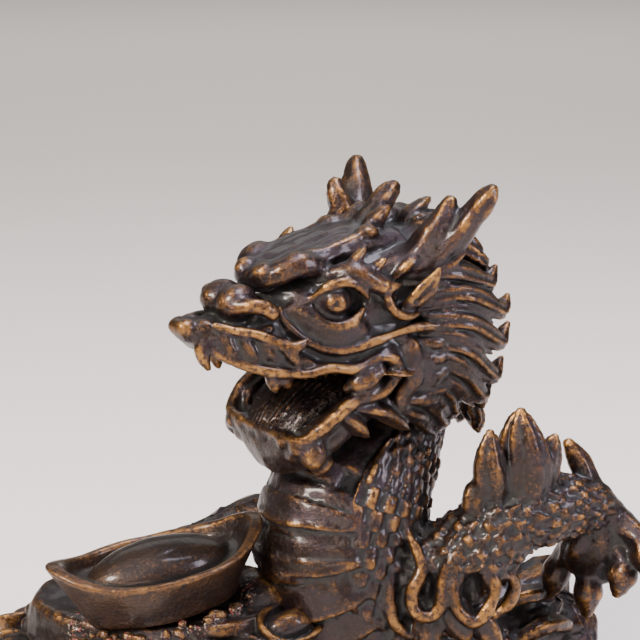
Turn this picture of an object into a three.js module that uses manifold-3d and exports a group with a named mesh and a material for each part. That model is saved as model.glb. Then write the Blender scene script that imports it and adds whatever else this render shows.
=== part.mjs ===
// Dragon ornament in three castings: the dragon, the heap of treasure it rests on, and the boat-shaped
// ingot on top. Millimetres, +Z up. The origin is the middle of the flat underside, and the dragon's head
// looks towards -X and -Y.
import * as THREE from 'three';
import { mergeVertices } from 'three/addons/utils/BufferGeometryUtils.js';
import Module from 'manifold-3d';

const wasm = await Module();
wasm.setup();

// ---- driving dimensions
const GAP = 0.3;                                  // clearance between castings that touch
const BASE = { length: 196, width: 100, height: 9, foot: 3, waist: 2.5, corner: 0.62 };
const HEAP = { x: -44, y: -13, top: 55, reachX: 46.5, reachY: 31 };
const INGOT = { x: -43.3, y: -25, foot: 55.8, length: 63.5, width: 35.5, height: 20, bow: 5.5, yaw: 25,
  roll: 5 };
const HEAD = { x: 19.1, y: 8, z: 138.4, yaw: 37 };  // the head's own frame and its turn from -X
const CHEST_TURN = -135;                          // direction that the belly plates face, degrees from +X
const PLATE_PITCH = 10;                           // height of one belly plate

const UP = new THREE.Vector3(0, 0, 1);
const ACROSS = new THREE.Vector3(0, 1, 0);
const AHEAD = new THREE.Vector3(1, 0, 0);
const rad = THREE.MathUtils.degToRad;
const vec = ([x, y, z]) => new THREE.Vector3(x, y, z);

// ---- solids

// A closed geometry as a solid.
function solid(geometry) {
  geometry.deleteAttribute('normal');
  geometry.deleteAttribute('uv');
  const welded = mergeVertices(geometry, 1e-4);
  return new wasm.Manifold(new wasm.Mesh({
    numProp: 3,
    vertProperties: new Float32Array(welded.attributes.position.array),
    triVerts: new Uint32Array(welded.index.array),
  }));
}

const join = (solids) => solids.flat(3).reduce((a, b) => a.add(b));
const placed = (shape, matrix) => shape.transform(matrix.toArray());

// A body lofted through stations [x, y, z, half width, half height], with domed or pointed ends.
// The half height is measured in the plane that holds the up direction, and profile scales a ring by its
// angle and by t.
function loft(stations, { sides = 6, steps = 6, up = UP, dome = 0.45, profile = () => 1 } = {}) {
  const centre = new THREE.CatmullRomCurve3(stations.map(vec));
  const size = new THREE.CatmullRomCurve3(stations.map((s) => new THREE.Vector3(s[3], s[4], 0)));
  const points = [];
  for (let i = 0; i <= steps; i += 1) {
    const t = i / steps;
    const at = centre.getPoint(t);
    const ahead = centre.getTangent(t);
    const side = new THREE.Vector3().crossVectors(up, ahead).normalize();
    const over = new THREE.Vector3().crossVectors(ahead, side);
    const { x: wide, y: high } = size.getPoint(t);
    const end = ahead.clone().multiplyScalar(dome * Math.min(wide, high));
    if (i === 0) points.push(at.clone().sub(end));
    for (let j = 0; j < sides; j += 1) {
      const angle = (2 * Math.PI * (j + 0.5)) / sides;
      const k = profile(angle, t);
      points.push(at.clone().addScaledVector(side, k * wide * Math.cos(angle))
        .addScaledVector(over, k * high * Math.sin(angle)));
    }
    if (i === steps) points.push(at.clone().add(end));
  }
  const index = [];
  const last = points.length - 1;
  for (let j = 0; j < sides; j += 1) {
    const next = (j + 1) % sides;
    index.push(0, 1 + next, 1 + j, last, last - sides + j, last - sides + next);
    for (let i = 0; i < steps; i += 1) {
      const a = 1 + i * sides;
      const b = a + sides;
      index.push(a + j, a + next, b + next, a + j, b + next, b + j);
    }
  }
  const geometry = new THREE.BufferGeometry().setFromPoints(points);
  geometry.setIndex(index);
  return solid(geometry);
}

const thicker = (stations, grow) => stations.map(([x, y, z, a, b]) => [x, y, z, a + grow, b + grow]);

// An ellipsoid of low facets, turned by degrees about X, Y and Z.
function blob([x, y, z], [a, b, c], { turn = [0, 0, 0], around = 8, down = 6 } = {}) {
  const geometry = new THREE.SphereGeometry(1, around, down).rotateX(Math.PI / 2);
  const matrix = new THREE.Matrix4().compose(
    vec([x, y, z]), new THREE.Quaternion().setFromEuler(new THREE.Euler(...turn.map(rad))), vec([a, b,
      c]));
  return solid(geometry.applyMatrix4(matrix));
}

// A bent leaf or flame from its root to its tip, widest a third of the way up.
function leaf(root, tip, wide, thick, { bend = [0, 0, 0], up = UP, steps = 4, sides = 4 } = {}) {
  const a = vec(root);
  const b = vec(tip);
  const stations = [0, 0.33, 0.7, 1].map((t) => {
    const p = a.clone().lerp(b, t).addScaledVector(vec(bend), Math.sin(Math.PI * t));
    const k = [0.75, 1, 0.7, 0.16][Math.round(t * 3)];
    return [p.x, p.y, p.z, wide * k, thick * Math.max(k, 0.3)];
  });
  return loft(stations, { up, steps, sides });
}

// ---- the dragon's body: neck, belly, the coil along the base and the tail

const BODY = [
  [25, 13, 113, 11, 11], [24, 11, 102, 12, 12], [18, 6, 92, 16, 16], [9.5, 0.5, 81, 22, 21.5],
  [6.5, -2.5, 69, 23.5, 22.5], [8.5, -2, 55, 24, 22.5], [16, 3, 39, 23.5, 21], [32, 12, 27.5, 19.5, 17],
  [52, 25, 25, 17, 15.5], [44, 36, 21, 11.5, 11.5], [22, 39.5, 17.5, 8.5, 8.5], [-6, 41, 15.5, 6.8, 6.8],
  [-34, 38.5, 15, 5.4, 5.4], [-56, 31, 18, 4.2, 4.2], [-64, 24, 28, 2.8, 2.8],
];

function body(grow = 0) {
  return loft(thicker(BODY, grow), { sides: 8, steps: 17, up: new THREE.Vector3(1, -1,
    0.02).normalize() });
}

// Overlapping plates down the front of the neck, each flared at its lower edge.
function bellyPlates(grow = 0) {
  const face = new THREE.Vector3(Math.cos(rad(CHEST_TURN)), Math.sin(rad(CHEST_TURN)), 0);
  const neck = BODY.slice(2, 7);
  const axis = new THREE.CatmullRomCurve3(neck.map(vec));
  const reach = new THREE.CatmullRomCurve3(neck.map((s) => new THREE.Vector3(s[3], s[4], 0)));
  const count = Math.round(axis.getLength() / PLATE_PITCH);
  const stations = Array.from({ length: 2 * count }, (_, i) => {
    const lower = i % 2;
    const t = (Math.floor(i / 2) + (lower ? 0.94 : 0.02)) / count;
    const r = reach.getPoint(t).x;
    const p = axis.getPoint(t).addScaledVector(face, 0.34 * r + (lower ? 0.9 : -0.3));
    return [p.x, p.y, p.z, 0.78 * r, 0.76 * r];
  });
  return loft(thicker(stations, grow), { sides: 8, steps: stations.length - 1, up: face, dome: 0.04 });
}

// Raised cord where the plates meet the scales, on the near side.
const PLATE_CORD = [
  [13, -9.5, 95.5, 1.3, 1.3], [7.5, -20, 82, 1.5, 1.5], [4, -25.2, 68, 1.5, 1.5],
  [6.5, -25.5, 55, 1.5, 1.5],
  [14.5, -20.5, 42, 1.5, 1.5], [24, -13, 31, 1.3, 1.3],
];

// Knobbed fins down the back of the neck.
function dorsalFins() {
  const axis = new THREE.CatmullRomCurve3(BODY.slice(0, 9).map(vec));
  const reach = new THREE.CatmullRomCurve3(BODY.slice(0, 9).map((s) => new THREE.Vector3(s[3], 0, 0)));
  return Array.from({ length: 7 }, (_, i) => {
    const t = 0.15 + 0.055 * i;
    const p = axis.getPoint(t);
    const r = reach.getPoint(t).x;
    const away = new THREE.Vector3(0.8, 0.6 - 0.04 * i, 0.1).normalize();
    const root = p.clone().addScaledVector(away, r - 3);
    const tip = p.clone().addScaledVector(away, r + 3.4).add(new THREE.Vector3(0, 0, -1));
    return leaf(root.toArray(), tip.toArray(), 2.4, 3.4, { steps: 2, sides: 4 });
  });
}

// ---- the head, in its own frame: x to the snout, y to the near side, z up

const both = (make) => [make(1), make(-1)];

function skull() {
  const boxy = (angle) => (Math.abs(Math.cos(angle)) ** 4 + Math.abs(Math.sin(angle)) ** 4) ** -0.25;
  const form = loft([
    [-14, 0, -3, 13, 13], [-4, 0, 0.5, 18, 16], [8, 0, 1, 20, 16], [20, 0, 0, 20.5, 14.5],
    [32, 0, 0, 18, 11.5],
    [42, 0, -1.5, 14, 8], [50, 0, -3, 10, 6],
  ], { sides: 8, steps: 6 });
  const muzzle = loft([[12, 0, -7, 19.5, 7], [30, 0, -7.4, 18.4, 6.6], [46, 0, -7.4, 15, 5.8],
    [57, 0, -5.6, 9.6, 4.6], [64, 0, -3, 5.6, 3.4],
    [70, 0, 0.2, 2, 1.6]], { sides: 8, steps: 7, profile: boxy });
  const nape = loft([[-8, 0, 8, 15, 11], [-9, 0, -6, 18, 14], [-8, 0, -22, 16, 14], [-8, 0, -36, 12, 12]],
    { sides: 6, steps: 3, up: AHEAD });
  const forehead = loft([[0, 0, 12, 12, 5], [14, 0, 14, 13.5, 6], [28, 0, 14.5, 13, 5.6],
    [40, 0, 11, 11, 3.6]],
    { sides: 6, steps: 3 });
  const palate = loft([[4, 0, -19, 11, 6], [26, 0, -15.5, 14, 5.6], [46, 0, -14, 10.5, 4.4],
    [60, 0, -9.8, 3.4, 2.4]],
    { sides: 6, steps: 3 });
  const sockets = both((s) => blob([30, 21.5 * s, 4], [10, 8.5, 6], { around: 6, down: 4 }));
  return join([form, muzzle, nape, forehead]).subtract(join([palate, sockets]));
}

const nose = () => [
  blob([52.5, 0, 3.2], [6.8, 8.6, 6.2], { around: 8, down: 5 }),
  both((s) => loft([[55.5, 5 * s, 4.4, 4, 3.6], [51.5, 10 * s, 4, 3.2, 3], [46.5, 13 * s, 0.6, 1.4, 1.4]],
    { sides: 5, steps: 3 })),
];

const lips = () => both((s) => [
  loft([[62, 6 * s, -7.5, 1.8, 1.6], [57, 11 * s, -10.5, 2, 1.8], [50, 15 * s, -12.6, 2, 2],
    [40, 18 * s, -13, 2, 2],
    [28, 19.8 * s, -13, 2, 2], [16, 20 * s, -12, 1.6, 1.6]], { sides: 4, steps: 4 }),
  loft([[63, 4.5 * s, 0.6, 1.4, 1.2], [57, 9.5 * s, -1, 2, 1.6], [50.5, 14 * s, -3.6, 2.2, 1.8],
    [44, 16 * s, -7, 2, 1.8], [37, 18 * s, -10.5, 1.2, 1.2]], { sides: 4, steps: 4 }),
  leaf([50.5, 14 * s, -11], [46, 13.4 * s, -18.4], 3.2, 1.8, { up: ACROSS, steps: 3, sides: 4 }),
  leaf([66.6, 4.6 * s, -2.5], [65, 4.8 * s, -12.4], 2.3, 2, { up: ACROSS, steps: 3, sides: 5 }),
]);

const eyes = () => both((s) => blob([31.8, 14 * s, 4], [5.2, 5.2, 5], { around: 7, down: 4 }));

const brows = () => both((s) => [
  loft([[40.5, 9 * s, 13, 4.2, 3.6], [35, 10.5 * s, 13, 3.8, 3.6], [29.5, 12.5 * s, 12, 3.6, 3.4],
    [23.5, 16 * s, 11, 3.8, 3.4], [18.5, 19 * s, 7.6, 3, 3],
    [14, 21 * s, 4.6, 1.2, 1.2]], { sides: 4, steps: 5 }),
  loft([[46, 12 * s, 1.4, 1.2, 1.2], [39.5, 15 * s, -5.2, 1.5, 1.4], [33, 17.8 * s, -8.6, 1.6, 1.5],
    [25, 20.4 * s, -8.2, 1.7, 1.5], [14, 21.8 * s, -5.8, 1.6, 1.5], [4, 22.4 * s, -6, 1.5, 1.4],
    [-4, 22.8 * s, -9.4, 1, 1]], { sides: 3, steps: 6 }),
]);

// Horns forked at half length, the crest leaves between them, and the ears.
const horns = () => both((s) => [
  loft([[6, 12 * s, 9, 6.4, 5.4], [-1, 17.5 * s, 12, 4.8, 4.2], [-6, 23 * s, 19, 3.6, 3.2],
    [-9.5, 27 * s, 26, 2.6, 2.4], [-12.2, 30 * s, 32, 0.9, 0.9]], { sides: 5, steps: 4 }),
  loft([[2, 16 * s, 12, 4, 3.4], [-1.2 - s, 19 * s, 20, 2.8, 2.6], [-1 - 4 * s, 20.6 * s, 28.4, 0.9, 0.9]],
    { sides: 4, steps: 3 }),
]);

const crest = () => [
  leaf([11, 0, 13], [-2.7, 0, 31], 4.6, 3, { bend: [-1.5, 0, 1], up: new THREE.Vector3(1, 0, 0.4) }),
  leaf([2, -6, 13], [-11.6, -8, 21], 3.6, 3),
  leaf([1, 5, 12], [-15, 6, 18], 3.6, 3),
];

const ears = () => both((s) => leaf([11.5, 19.5 * s, 0],
  [4, 26.5 * s, 10.2], 2, 4, { bend: [0, 1.2 * s, -1.5] }));

// Mane: rows of curling locks fanned round the nape, tips turned up.
function mane() {
  const rows = [[8, 2, 26], [-2, 3, 31], [-12.5, 2, 32], [-13, 1, 31], [-21.5, 3, 31], [-30, 2, 26]];
  return rows.flatMap(([height, count, reach]) => Array.from({ length: count }, (_, i) => {
    const angle = rad(180 + (count === 1 ? 0 : -42 + (84 * i) / (count - 1)));
    const at = (r, h, a, b) => [-2 + r * Math.cos(angle), r * 0.98 * Math.sin(angle), h, a, b];
    return loft([at(11, height + 2, 6, 5.4), at(0.62 * reach, height - 1, 5.6, 5),
      at(0.86 * reach, height - 3.4, 3.8, 3.2), at(reach, height - 0.6, 1.2, 1)], { sides: 4, steps: 3 });
  }));
}

// Folds behind the mouth: the bead in its ring, the S ribbon and the frills of the cheek.
const cheekFolds = () => both((s) => [
  blob([24.6, 19.6 * s, -17.4], [4, 3.4, 3.4], { around: 6, down: 4 }),
  loft([[7, 20 * s, -6, 2.2, 2.2], [8, 22 * s, -12, 2.4, 2], [8.6, 22 * s, -19, 2.6, 2],
    [12, 20.6 * s, -25, 2.4, 2.2],
    [8.6, 19.4 * s, -29.4, 1.4, 1.4]], { sides: 4, steps: 5, up: ACROSS }),
  loft([[12, 18 * s, -24, 3, 2.4], [2, 20.6 * s, -25.6, 2, 2],
    [-7, 19.6 * s, -25.2, 1, 1]], { sides: 4, steps: 3 }),
  loft([[34, 18.6 * s, -27.6, 2.2, 2], [25, 20.4 * s, -29.8, 2.4, 2], [15, 19 * s, -31.6, 2.2, 1.8],
    [6, 18 * s, -33.4, 1, 1]], { sides: 4, steps: 4 }),
  loft([[2, 18 * s, -6, 6, 5], [0, 19 * s, -15, 5, 5],
    [0, 17 * s, -24, 5, 5]], { sides: 5, steps: 2, up: AHEAD }),
]);

// The lower jaw is a trough with a rolled rim, a ribbed tongue and a blunt chin.
function lowerJaw() {
  const shell = loft([[4, 0, -20, 14, 7], [16, 0, -24.5, 18.4, 7.6], [28, 0, -31, 19.6, 8],
    [38, 0, -37.5, 18.4, 7.6]], { sides: 8, steps: 3 });
  const trough = loft([[2, 0, -12, 12, 6], [15, 0, -17.5, 15.5, 6.5], [28, 0, -24.5, 15.8, 6.5],
    [44, 0, -32.5, 13, 4]], { sides: 6, steps: 3 });
  const rim = loft([
    [18, 19.6, -19.5, 1.8, 1.8], [29, 20.8, -23.5, 2.3, 2.2], [38.5, 19.5, -29.5, 2.4, 2.3],
    [43, 14, -33.6, 2.2, 2.2],
    [44, 0, -33.4, 2.2, 2.2],
    [43, -14, -33.6, 2.2, 2.2], [38.5, -19.5, -29.5, 2.4, 2.3], [29, -20.8, -23.5, 2.3, 2.2],
    [18, -19.6, -19.5, 1.8, 1.8],
  ], { sides: 4, steps: 10 });
  const tongue = loft([[8, 0, -22, 7, 3], [22, 0, -26.5, 7.6, 3], [33, 0, -30.6, 6, 2.2],
    [40, 0, -33.4, 3, 1.4]],
    { sides: 6, steps: 3 });
  const chin = [blob([40.6, 0, -40], [4, 13, 6.2], { around: 8, down: 4 }),
    both((s) => blob([39, 16.5 * s, -36.6], [3.8, 4, 4.6], { around: 6, down: 4 }))];
  return join([shell.subtract(trough), rim, tongue, chin]);
}

function head() {
  const yaw = rad(HEAD.yaw);
  const matrix = new THREE.Matrix4().makeBasis(
    new THREE.Vector3(-Math.cos(yaw), -Math.sin(yaw), 0), new THREE.Vector3(Math.sin(yaw),
      -Math.cos(yaw), 0), UP)
    .setPosition(HEAD.x, HEAD.y, HEAD.z);
  return placed(join([skull(), nose(), lips(), eyes(), brows(), horns(), crest(), ears(), mane(),
    cheekFolds(),
    lowerJaw()]), matrix);
}

// ---- limbs

const nearArm = () => loft([
  [28, -8, 57, 13, 13], [38, -12.5, 62.5, 12, 12.5], [46.5, -12, 70, 11, 11], [54, -10, 76, 10, 9.6],
  [62, -8, 77, 9.6, 9.2], [70, -4.5, 77.4, 8.6, 8.4], [78, -1, 76.4, 6.4, 6.2],
], { sides: 7, steps: 7 });

// The lifted paw hangs from the wrist: a back, a thumb turned up and four clawed digits.
function nearPaw() {
  const palm = loft([[77, -1, 77, 6.2, 6], [81.5, 0, 71.5, 8.4, 6.6], [82, 1.5, 63, 12.6, 7.6],
    [80, 3.5, 55, 11.5, 6]],
    { sides: 7, steps: 4, up: ACROSS });
  const digits = [
    [[73.5, 6, 58], [70.6, 9, 51], [69, 10, 44]],
    [[80, 3, 57], [78.4, 2.4, 49.5], [78.6, 2, 42]],
    [[87, -2, 62], [87.4, -6, 57.4], [85.4, -8, 52.6]],
    [[88, -3, 69], [92.6, -8, 65.6], [93, -11, 59.4]],
  ];
  const toes = digits.map(([root, knuckle, tip]) => loft([
    [...root, 4.4, 4.6], [...knuckle, 4, 4.2], [...tip, 2, 2.2]], { sides: 5, steps: 2, up: ACROSS }));
  const thumb = loft([[79, 0, 78, 4.6, 4], [75.6, 2, 86.5, 3.4, 3], [71.6, 3.4, 92.6, 2.4, 2.4]],
    { sides: 5, steps: 3, up: ACROSS });
  return [palm, toes, thumb];
}

// Four flame-shaped locks standing at the elbow.
const elbowTuft = () => [
  leaf([49.5, -13, 79], [47.2, -15, 102.4], 4.4, 3.4, { bend: [-0.6, -1.5, 0], up: ACROSS }),
  leaf([53, -6, 80], [54.8, -5, 105], 4.2, 3.2, { up: ACROSS }),
  leaf([57.5, -12, 78], [55.2, -13, 108], 5.6, 3.6, { bend: [1.4, -1.5, 0], up: ACROSS }),
  leaf([61, -9, 79], [65.8, -10, 99.6], 4.6, 3.2, { bend: [-1, -1, 0], up: ACROSS }),
];

// Flame ribbons hanging from the near shoulder: three joined loops round deep hollows.
function shoulderFlames() {
  const ribbon = (points, steps) => loft(points.map((p) => [...p, 2.3, 2]),
    { sides: 4, steps, up: new THREE.Vector3(0, 1, 0.2) });
  return [
    ribbon([[24, -18, 73.5], [28.9, -22.5, 63.6], [24.8, -24, 57.6], [28.9, -25.5, 53.6],
      [33.2, -25, 55.6],
      [34.2, -24, 64], [39, -22, 70.4]], 7),
    ribbon([[38.6, -22.4, 70.4], [36.4, -24.5, 62], [38.2, -25.5, 54], [42.6, -25.8, 51],
      [46.8, -25, 54.8],
      [48.2, -23.6, 60], [45.6, -21, 65.6]], 6),
    ribbon([[48.8, -20, 61.6], [53, -18, 61.2], [54.8, -16, 57], [51.8, -17, 51]], 3),
    leaf([36, -22, 56], [41, -24.4, 45.4], 7, 3, { up: new THREE.Vector3(0, 1, 0.1) }),
  ];
}

// The far foreleg reaches back round the neck and rests its paw on the heap behind the ingot.
const farForeleg = (grow = 0) => [
  loft(thicker([[4, 12, 58, 12, 11], [-10, 22, 60.5, 9, 8.4], [-20, 24.5, 60.4, 8, 7.8],
    [-30, 21, 57.6, 6.6, 6.2],
    [-39, 14, 58, 5.4, 4.6]], grow), { sides: 6, steps: 5 }),
  [-1, 0, 1].map((k) => loft(thicker([[-37, 15 + 2 * k, 57.6, 3.2, 3], [-45, 10 + 5 * k, 57.8, 2.7, 2.6],
    [-50, 7.5 + 6 * k, 56, 1.4, 1.4]], grow), { sides: 4, steps: 2 })),
];

// A hind leg: the shank comes forward from the haunch and the foot lies on the base with three claws.
function hindLeg(hip, knee, ankle, foot) {
  const along = vec(foot).sub(vec(ankle)).setZ(0).normalize();
  const across = new THREE.Vector3(-along.y, along.x, 0);
  const claws = [-1, 0, 1].map((k) => {
    const root = vec(foot).addScaledVector(along, -4).addScaledVector(across, 3 * k);
    const tip = vec(foot).addScaledVector(along, 9 - Math.abs(k)).addScaledVector(across, 5.5 * k);
    return loft([[root.x, root.y, BASE.height + 5, 3.4, 3.6], [tip.x, tip.y, BASE.height + 2, 1.4, 1.5]],
      { sides: 4, steps: 1 });
  });
  return [loft([[...hip, 12, 12], [...knee, 10, 9], [...ankle, 5.6, 5.6], [...foot, 6.4, 4.6]],
    { sides: 6, steps: 4 }), claws];
}

const hindLegs = () => [
  blob([56, 24, 26], [20.5, 16.5, 17.5], { around: 9, down: 6 }),
  hindLeg([54, 16, 27], [44, -6, 26], [56, -18, 17], [66, -26, 13.5]),
  hindLeg([62, 28, 24], [76, 30, 24], [79, 22, 17], [83, 12, 13.5]),
  [0, 1, 2].map((k) => leaf([66 - 8 * k, 36 + k, 30 + 3 * k], [79 - 6 * k, 40 + k, 40 + 3 * k], 3, 3.6,
    { steps: 3 })),
  leaf([-62, 26, 22], [-64, 18, 43], 4.6, 3.4, { bend: [-3, 0, 0], steps: 4 }),
  leaf([-60, 30, 20], [-52, 33, 41], 4, 3, { bend: [2, 0, 0], steps: 4 }),
];

// ---- the treasure heap on its low moulded base

// An oval block with a stepped and hollowed edge.
function base() {
  const { length, width, height, foot, waist, corner } = BASE;
  const ring = (inset) => {
    const n = 28;
    return Array.from({ length: n }, (_, i) => {
      const a = (2 * Math.PI * i) / n;
      const bend = (value) => Math.sign(value) * Math.abs(value) ** corner;
      return [(length / 2 - inset) * bend(Math.cos(a)), (width / 2 - inset) * bend(Math.sin(a))];
    });
  };
  const layer = (inset, z, deep) => {
    const shape = new THREE.Shape(ring(inset).map(([x, y]) => new THREE.Vector2(x, y)));
    return solid(new THREE.ExtrudeGeometry(shape, { depth: deep, bevelEnabled: false }).translate(0, 0,
      z));
  };
  return join([layer(0, 0, foot), layer(waist, foot - 0.5, height - 2 * foot + 1), layer(0.8,
    height - foot, foot)]);
}

// A boat-shaped ingot about its own foot: rising ends, a sunken deck and an egg-shaped dome.
function boat({ length, width, height, bow }, fine) {
  const sides = fine ? 20 : 8;
  const ring = (spread, z, lift) => Array.from({ length: sides }, (_, i) => {
    const a = (2 * Math.PI * i) / sides;
    const x = (0.5 * length * spread) * Math.cos(a);
    return [x, 0.5 * width * spread * Math.sin(a) * (1 - 0.12 * Math.cos(a) ** 4),
      z + lift * Math.cos(a) ** 4];
  });
  const deck = height - bow - 3.4;
  const rings = [ring(0.66, 0, 0), ...(fine ? [ring(0.8, 0.45 * height - 1, 0.3 * bow)] : []),
    ring(1, height - bow, bow), ...(fine ? [ring(0.93, height - bow - 0.4, bow - 0.4)] : []),
    ring(0.84, deck, 0.5 * bow)];
  const points = [new THREE.Vector3(0, 0, 0), ...rings.flat().map(vec), new THREE.Vector3(0, 0, deck)];
  const index = [];
  const last = points.length - 1;
  for (let j = 0; j < sides; j += 1) {
    const next = (j + 1) % sides;
    index.push(0, 1 + next, 1 + j, last, last - sides + j, last - sides + next);
    for (let i = 0; i < rings.length - 1; i += 1) {
      const a = 1 + i * sides;
      const b = a + sides;
      index.push(a + j, a + next, b + next, a + j, b + next, b + j);
    }
  }
  const geometry = new THREE.BufferGeometry().setFromPoints(points);
  geometry.setIndex(index);
  const dome = blob([0, 0, deck], [0.32 * length, 0.3 * width, 0.3 * height],
    { around: fine ? 14 : 6, down: fine ? 8 : 4 });
  return solid(geometry).add(dome);
}

// Turned by yaw about Z, with the ends rolled and the whole tilted sideways.
const pose = (x, y, z, yaw, roll = 0, tilt = 0) => new THREE.Matrix4()
  .makeRotationFromEuler(new THREE.Euler(rad(tilt), rad(-roll), rad(yaw), 'ZYX')).setPosition(x, y, z);

const largeIngotPose = () => pose(INGOT.x, INGOT.y, INGOT.foot, INGOT.yaw, INGOT.roll);

// Small ingots lean against the heap all round it, with beads between them.
function treasure() {
  const small = { length: 25, width: 15, height: 10, bow: 2.6 };
  const around = (a, z) => {
    const inset = 4.5 + 0.4 * Math.max(0, z - 38);
    return [HEAP.x + (HEAP.reachX - inset) * Math.cos(a), HEAP.y + (HEAP.reachY - inset) * Math.sin(a), z];
  };
  const tangent = (a) => THREE.MathUtils.radToDeg(
    Math.atan2(HEAP.reachY * Math.cos(a), -HEAP.reachX * Math.sin(a)));
  const lean = 34;
  const boats = [0, 1, 2, 3, 4, 5].flatMap((i) => [[70 + 44 * i, 39],
    [48 + 44 * i, 22]]).map(([degrees, z]) => {
    const [x, y] = around(rad(degrees), z);
    const swing = 12 * Math.sin(z + 5 * degrees);
    return placed(boat(small, false), pose(x, y, z - 3.5, tangent(rad(degrees)) + swing, 6, lean));
  });
  const beads = Array.from({ length: 8 }, (_, i) => blob(around(rad(26 + 44 * i), 31 - 17 * (i % 2)),
    [4.6, 4.4, 4],
    { around: 6, down: 4 }));
  const front = [[-24, -36, 45, 12], [-10, -24.5, 49.5, 40], [-1.5, -12, 50, 62]].map(([x, y, z, yaw]) =>
    placed(boat(small, false), pose(x, y, z - 4, yaw, 0, 28)));
  return [boats, beads, front];
}

function heap() {
  const { x, y, top, reachX, reachY } = HEAP;
  const mass = loft([[2, 1], [30, 1], [41, 0.97], [49, 0.89], [top - 0.4, 0.76]].map(
    ([z, k]) => [x, y, z, reachX * k, reachY * k]), { sides: 12, steps: 4, up: ACROSS, dome: 0.02 });
  return join([mass, blob([-15, -13, 49], [13, 13, 12.5]), treasure()]);
}

// ---- assembly

const slab = (z, deep) => solid(new THREE.BoxGeometry(400, 400, deep).translate(0, 0, z - deep / 2));

// The ingot with a little room round it, which its seat and the plates beside it are cut to.
function ingotRoom() {
  const { length, width, height } = INGOT;
  const room = { ...INGOT, length: length + 4 * GAP, width: width + 4 * GAP, height: height + 2 * GAP };
  return placed(boat(room, true), largeIngotPose().multiply(new THREE.Matrix4().makeTranslation(0, 0,
    -GAP)));
}

const dragonSolid = join([
  body(), bellyPlates(), loft(PLATE_CORD, { sides: 4, steps: 8 }), dorsalFins(), head(), nearArm(),
    nearPaw(),
  elbowTuft(), shoulderFlames(), farForeleg(), hindLegs(),
]).subtract(slab(BASE.height + GAP, 60)).subtract(ingotRoom());

const ingotSolid = placed(boat(INGOT, true), largeIngotPose());

const dragonRoom = join([body(3 * GAP), bellyPlates(3 * GAP), farForeleg(2 * GAP)]);
const moundSolid = heap().subtract(join([dragonRoom, ingotRoom()])).add(base()).subtract(slab(0, 60));

function casting(name, shape, color, roughness) {
  const { vertProperties, triVerts } = shape.getMesh();
  const geometry = new THREE.BufferGeometry();
  geometry.setAttribute('position', new THREE.BufferAttribute(new Float32Array(vertProperties), 3));
  geometry.setIndex(new THREE.BufferAttribute(new Uint32Array(triVerts), 1));
  geometry.computeVertexNormals();
  const material = new THREE.MeshStandardMaterial({ color, roughness, metalness: 1, flatShading: true });
  const mesh = new THREE.Mesh(geometry, material);
  mesh.name = name;
  return mesh;
}

const ornament = new THREE.Group();
ornament.add(
  casting('dragon', dragonSolid, '#5a4030', 0.38),
  casting('treasure_mound', moundSolid, '#453830', 0.5),
  casting('large_ingot', ingotSolid, '#7d5a38', 0.42),
);

export default ornament;
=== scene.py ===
"""Looks of a cast dragon ornament: the dragon, the heap of treasure beside it and the large ingot.
Each is sculpted as clay on a grid of signed distances, skinned and patinated. Clay is in millimetres and
the scene is in metres."""

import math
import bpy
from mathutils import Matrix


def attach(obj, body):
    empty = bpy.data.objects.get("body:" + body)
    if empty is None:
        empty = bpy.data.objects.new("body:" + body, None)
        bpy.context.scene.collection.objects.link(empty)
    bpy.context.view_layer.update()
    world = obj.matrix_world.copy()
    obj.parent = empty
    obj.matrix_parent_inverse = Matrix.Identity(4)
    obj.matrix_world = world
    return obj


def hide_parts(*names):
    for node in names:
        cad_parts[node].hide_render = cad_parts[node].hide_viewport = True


bl_info = {
    "name": "Dragon ornament",
    "version": (1, 0, 0),
    "blender": (4, 5, 0),
    "location": "View3D > Sidebar > Ornament",
    "description": "Sculpts and patinates a cast dragon, its treasure heap and its large ingot",
    "category": "Object",
}

from functools import partial

import bpy
import numpy as np
from mathutils import Vector

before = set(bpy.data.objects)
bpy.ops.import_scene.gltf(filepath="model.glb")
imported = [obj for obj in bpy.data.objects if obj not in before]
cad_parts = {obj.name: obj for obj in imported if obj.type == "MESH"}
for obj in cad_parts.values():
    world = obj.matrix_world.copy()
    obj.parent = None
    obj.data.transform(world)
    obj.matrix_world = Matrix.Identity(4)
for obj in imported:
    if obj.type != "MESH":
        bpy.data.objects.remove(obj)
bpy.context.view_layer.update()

MM = 0.001
FAR = np.float32(9.0)

# ---- driving dimensions, mm, the same as the solids'

BASE = {"length": 196.0, "width": 100.0, "height": 9.0, "foot": 3.0, "waist": 2.5, "corner": 0.62}
HEAP = {"x": -44.0, "y": -13.0, "top": 55.0, "reach_x": 46.5, "reach_y": 31.0}
INGOT = {"x": -43.3, "y": -25.0, "foot": 55.8, "length": 63.5, "width": 35.5, "height": 20.0, "bow": 5.5,
         "yaw": 25.0, "roll": 5.0}
HEAD = {"at": (19.1, 8.0, 138.4), "yaw": 37.0}
GAP = 0.3
PLATE_PITCH = 10.0
UP = (0.0, 0.0, 1.0)
ACROSS = (0.0, 1.0, 0.0)
AHEAD = (1.0, 0.0, 0.0)
LEAN = (0.7071, -0.7071, 0.02)

# Grid pitch in mm and most triangles of each piece: quick, then full.
DETAIL = {"dragon": ((0.9, 60000), (0.5, 195000)), "treasure_mound": ((1.0, 40000), (0.62, 150000)),
          "large_ingot": ((0.6, 20000), (0.32, 70000))}

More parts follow.
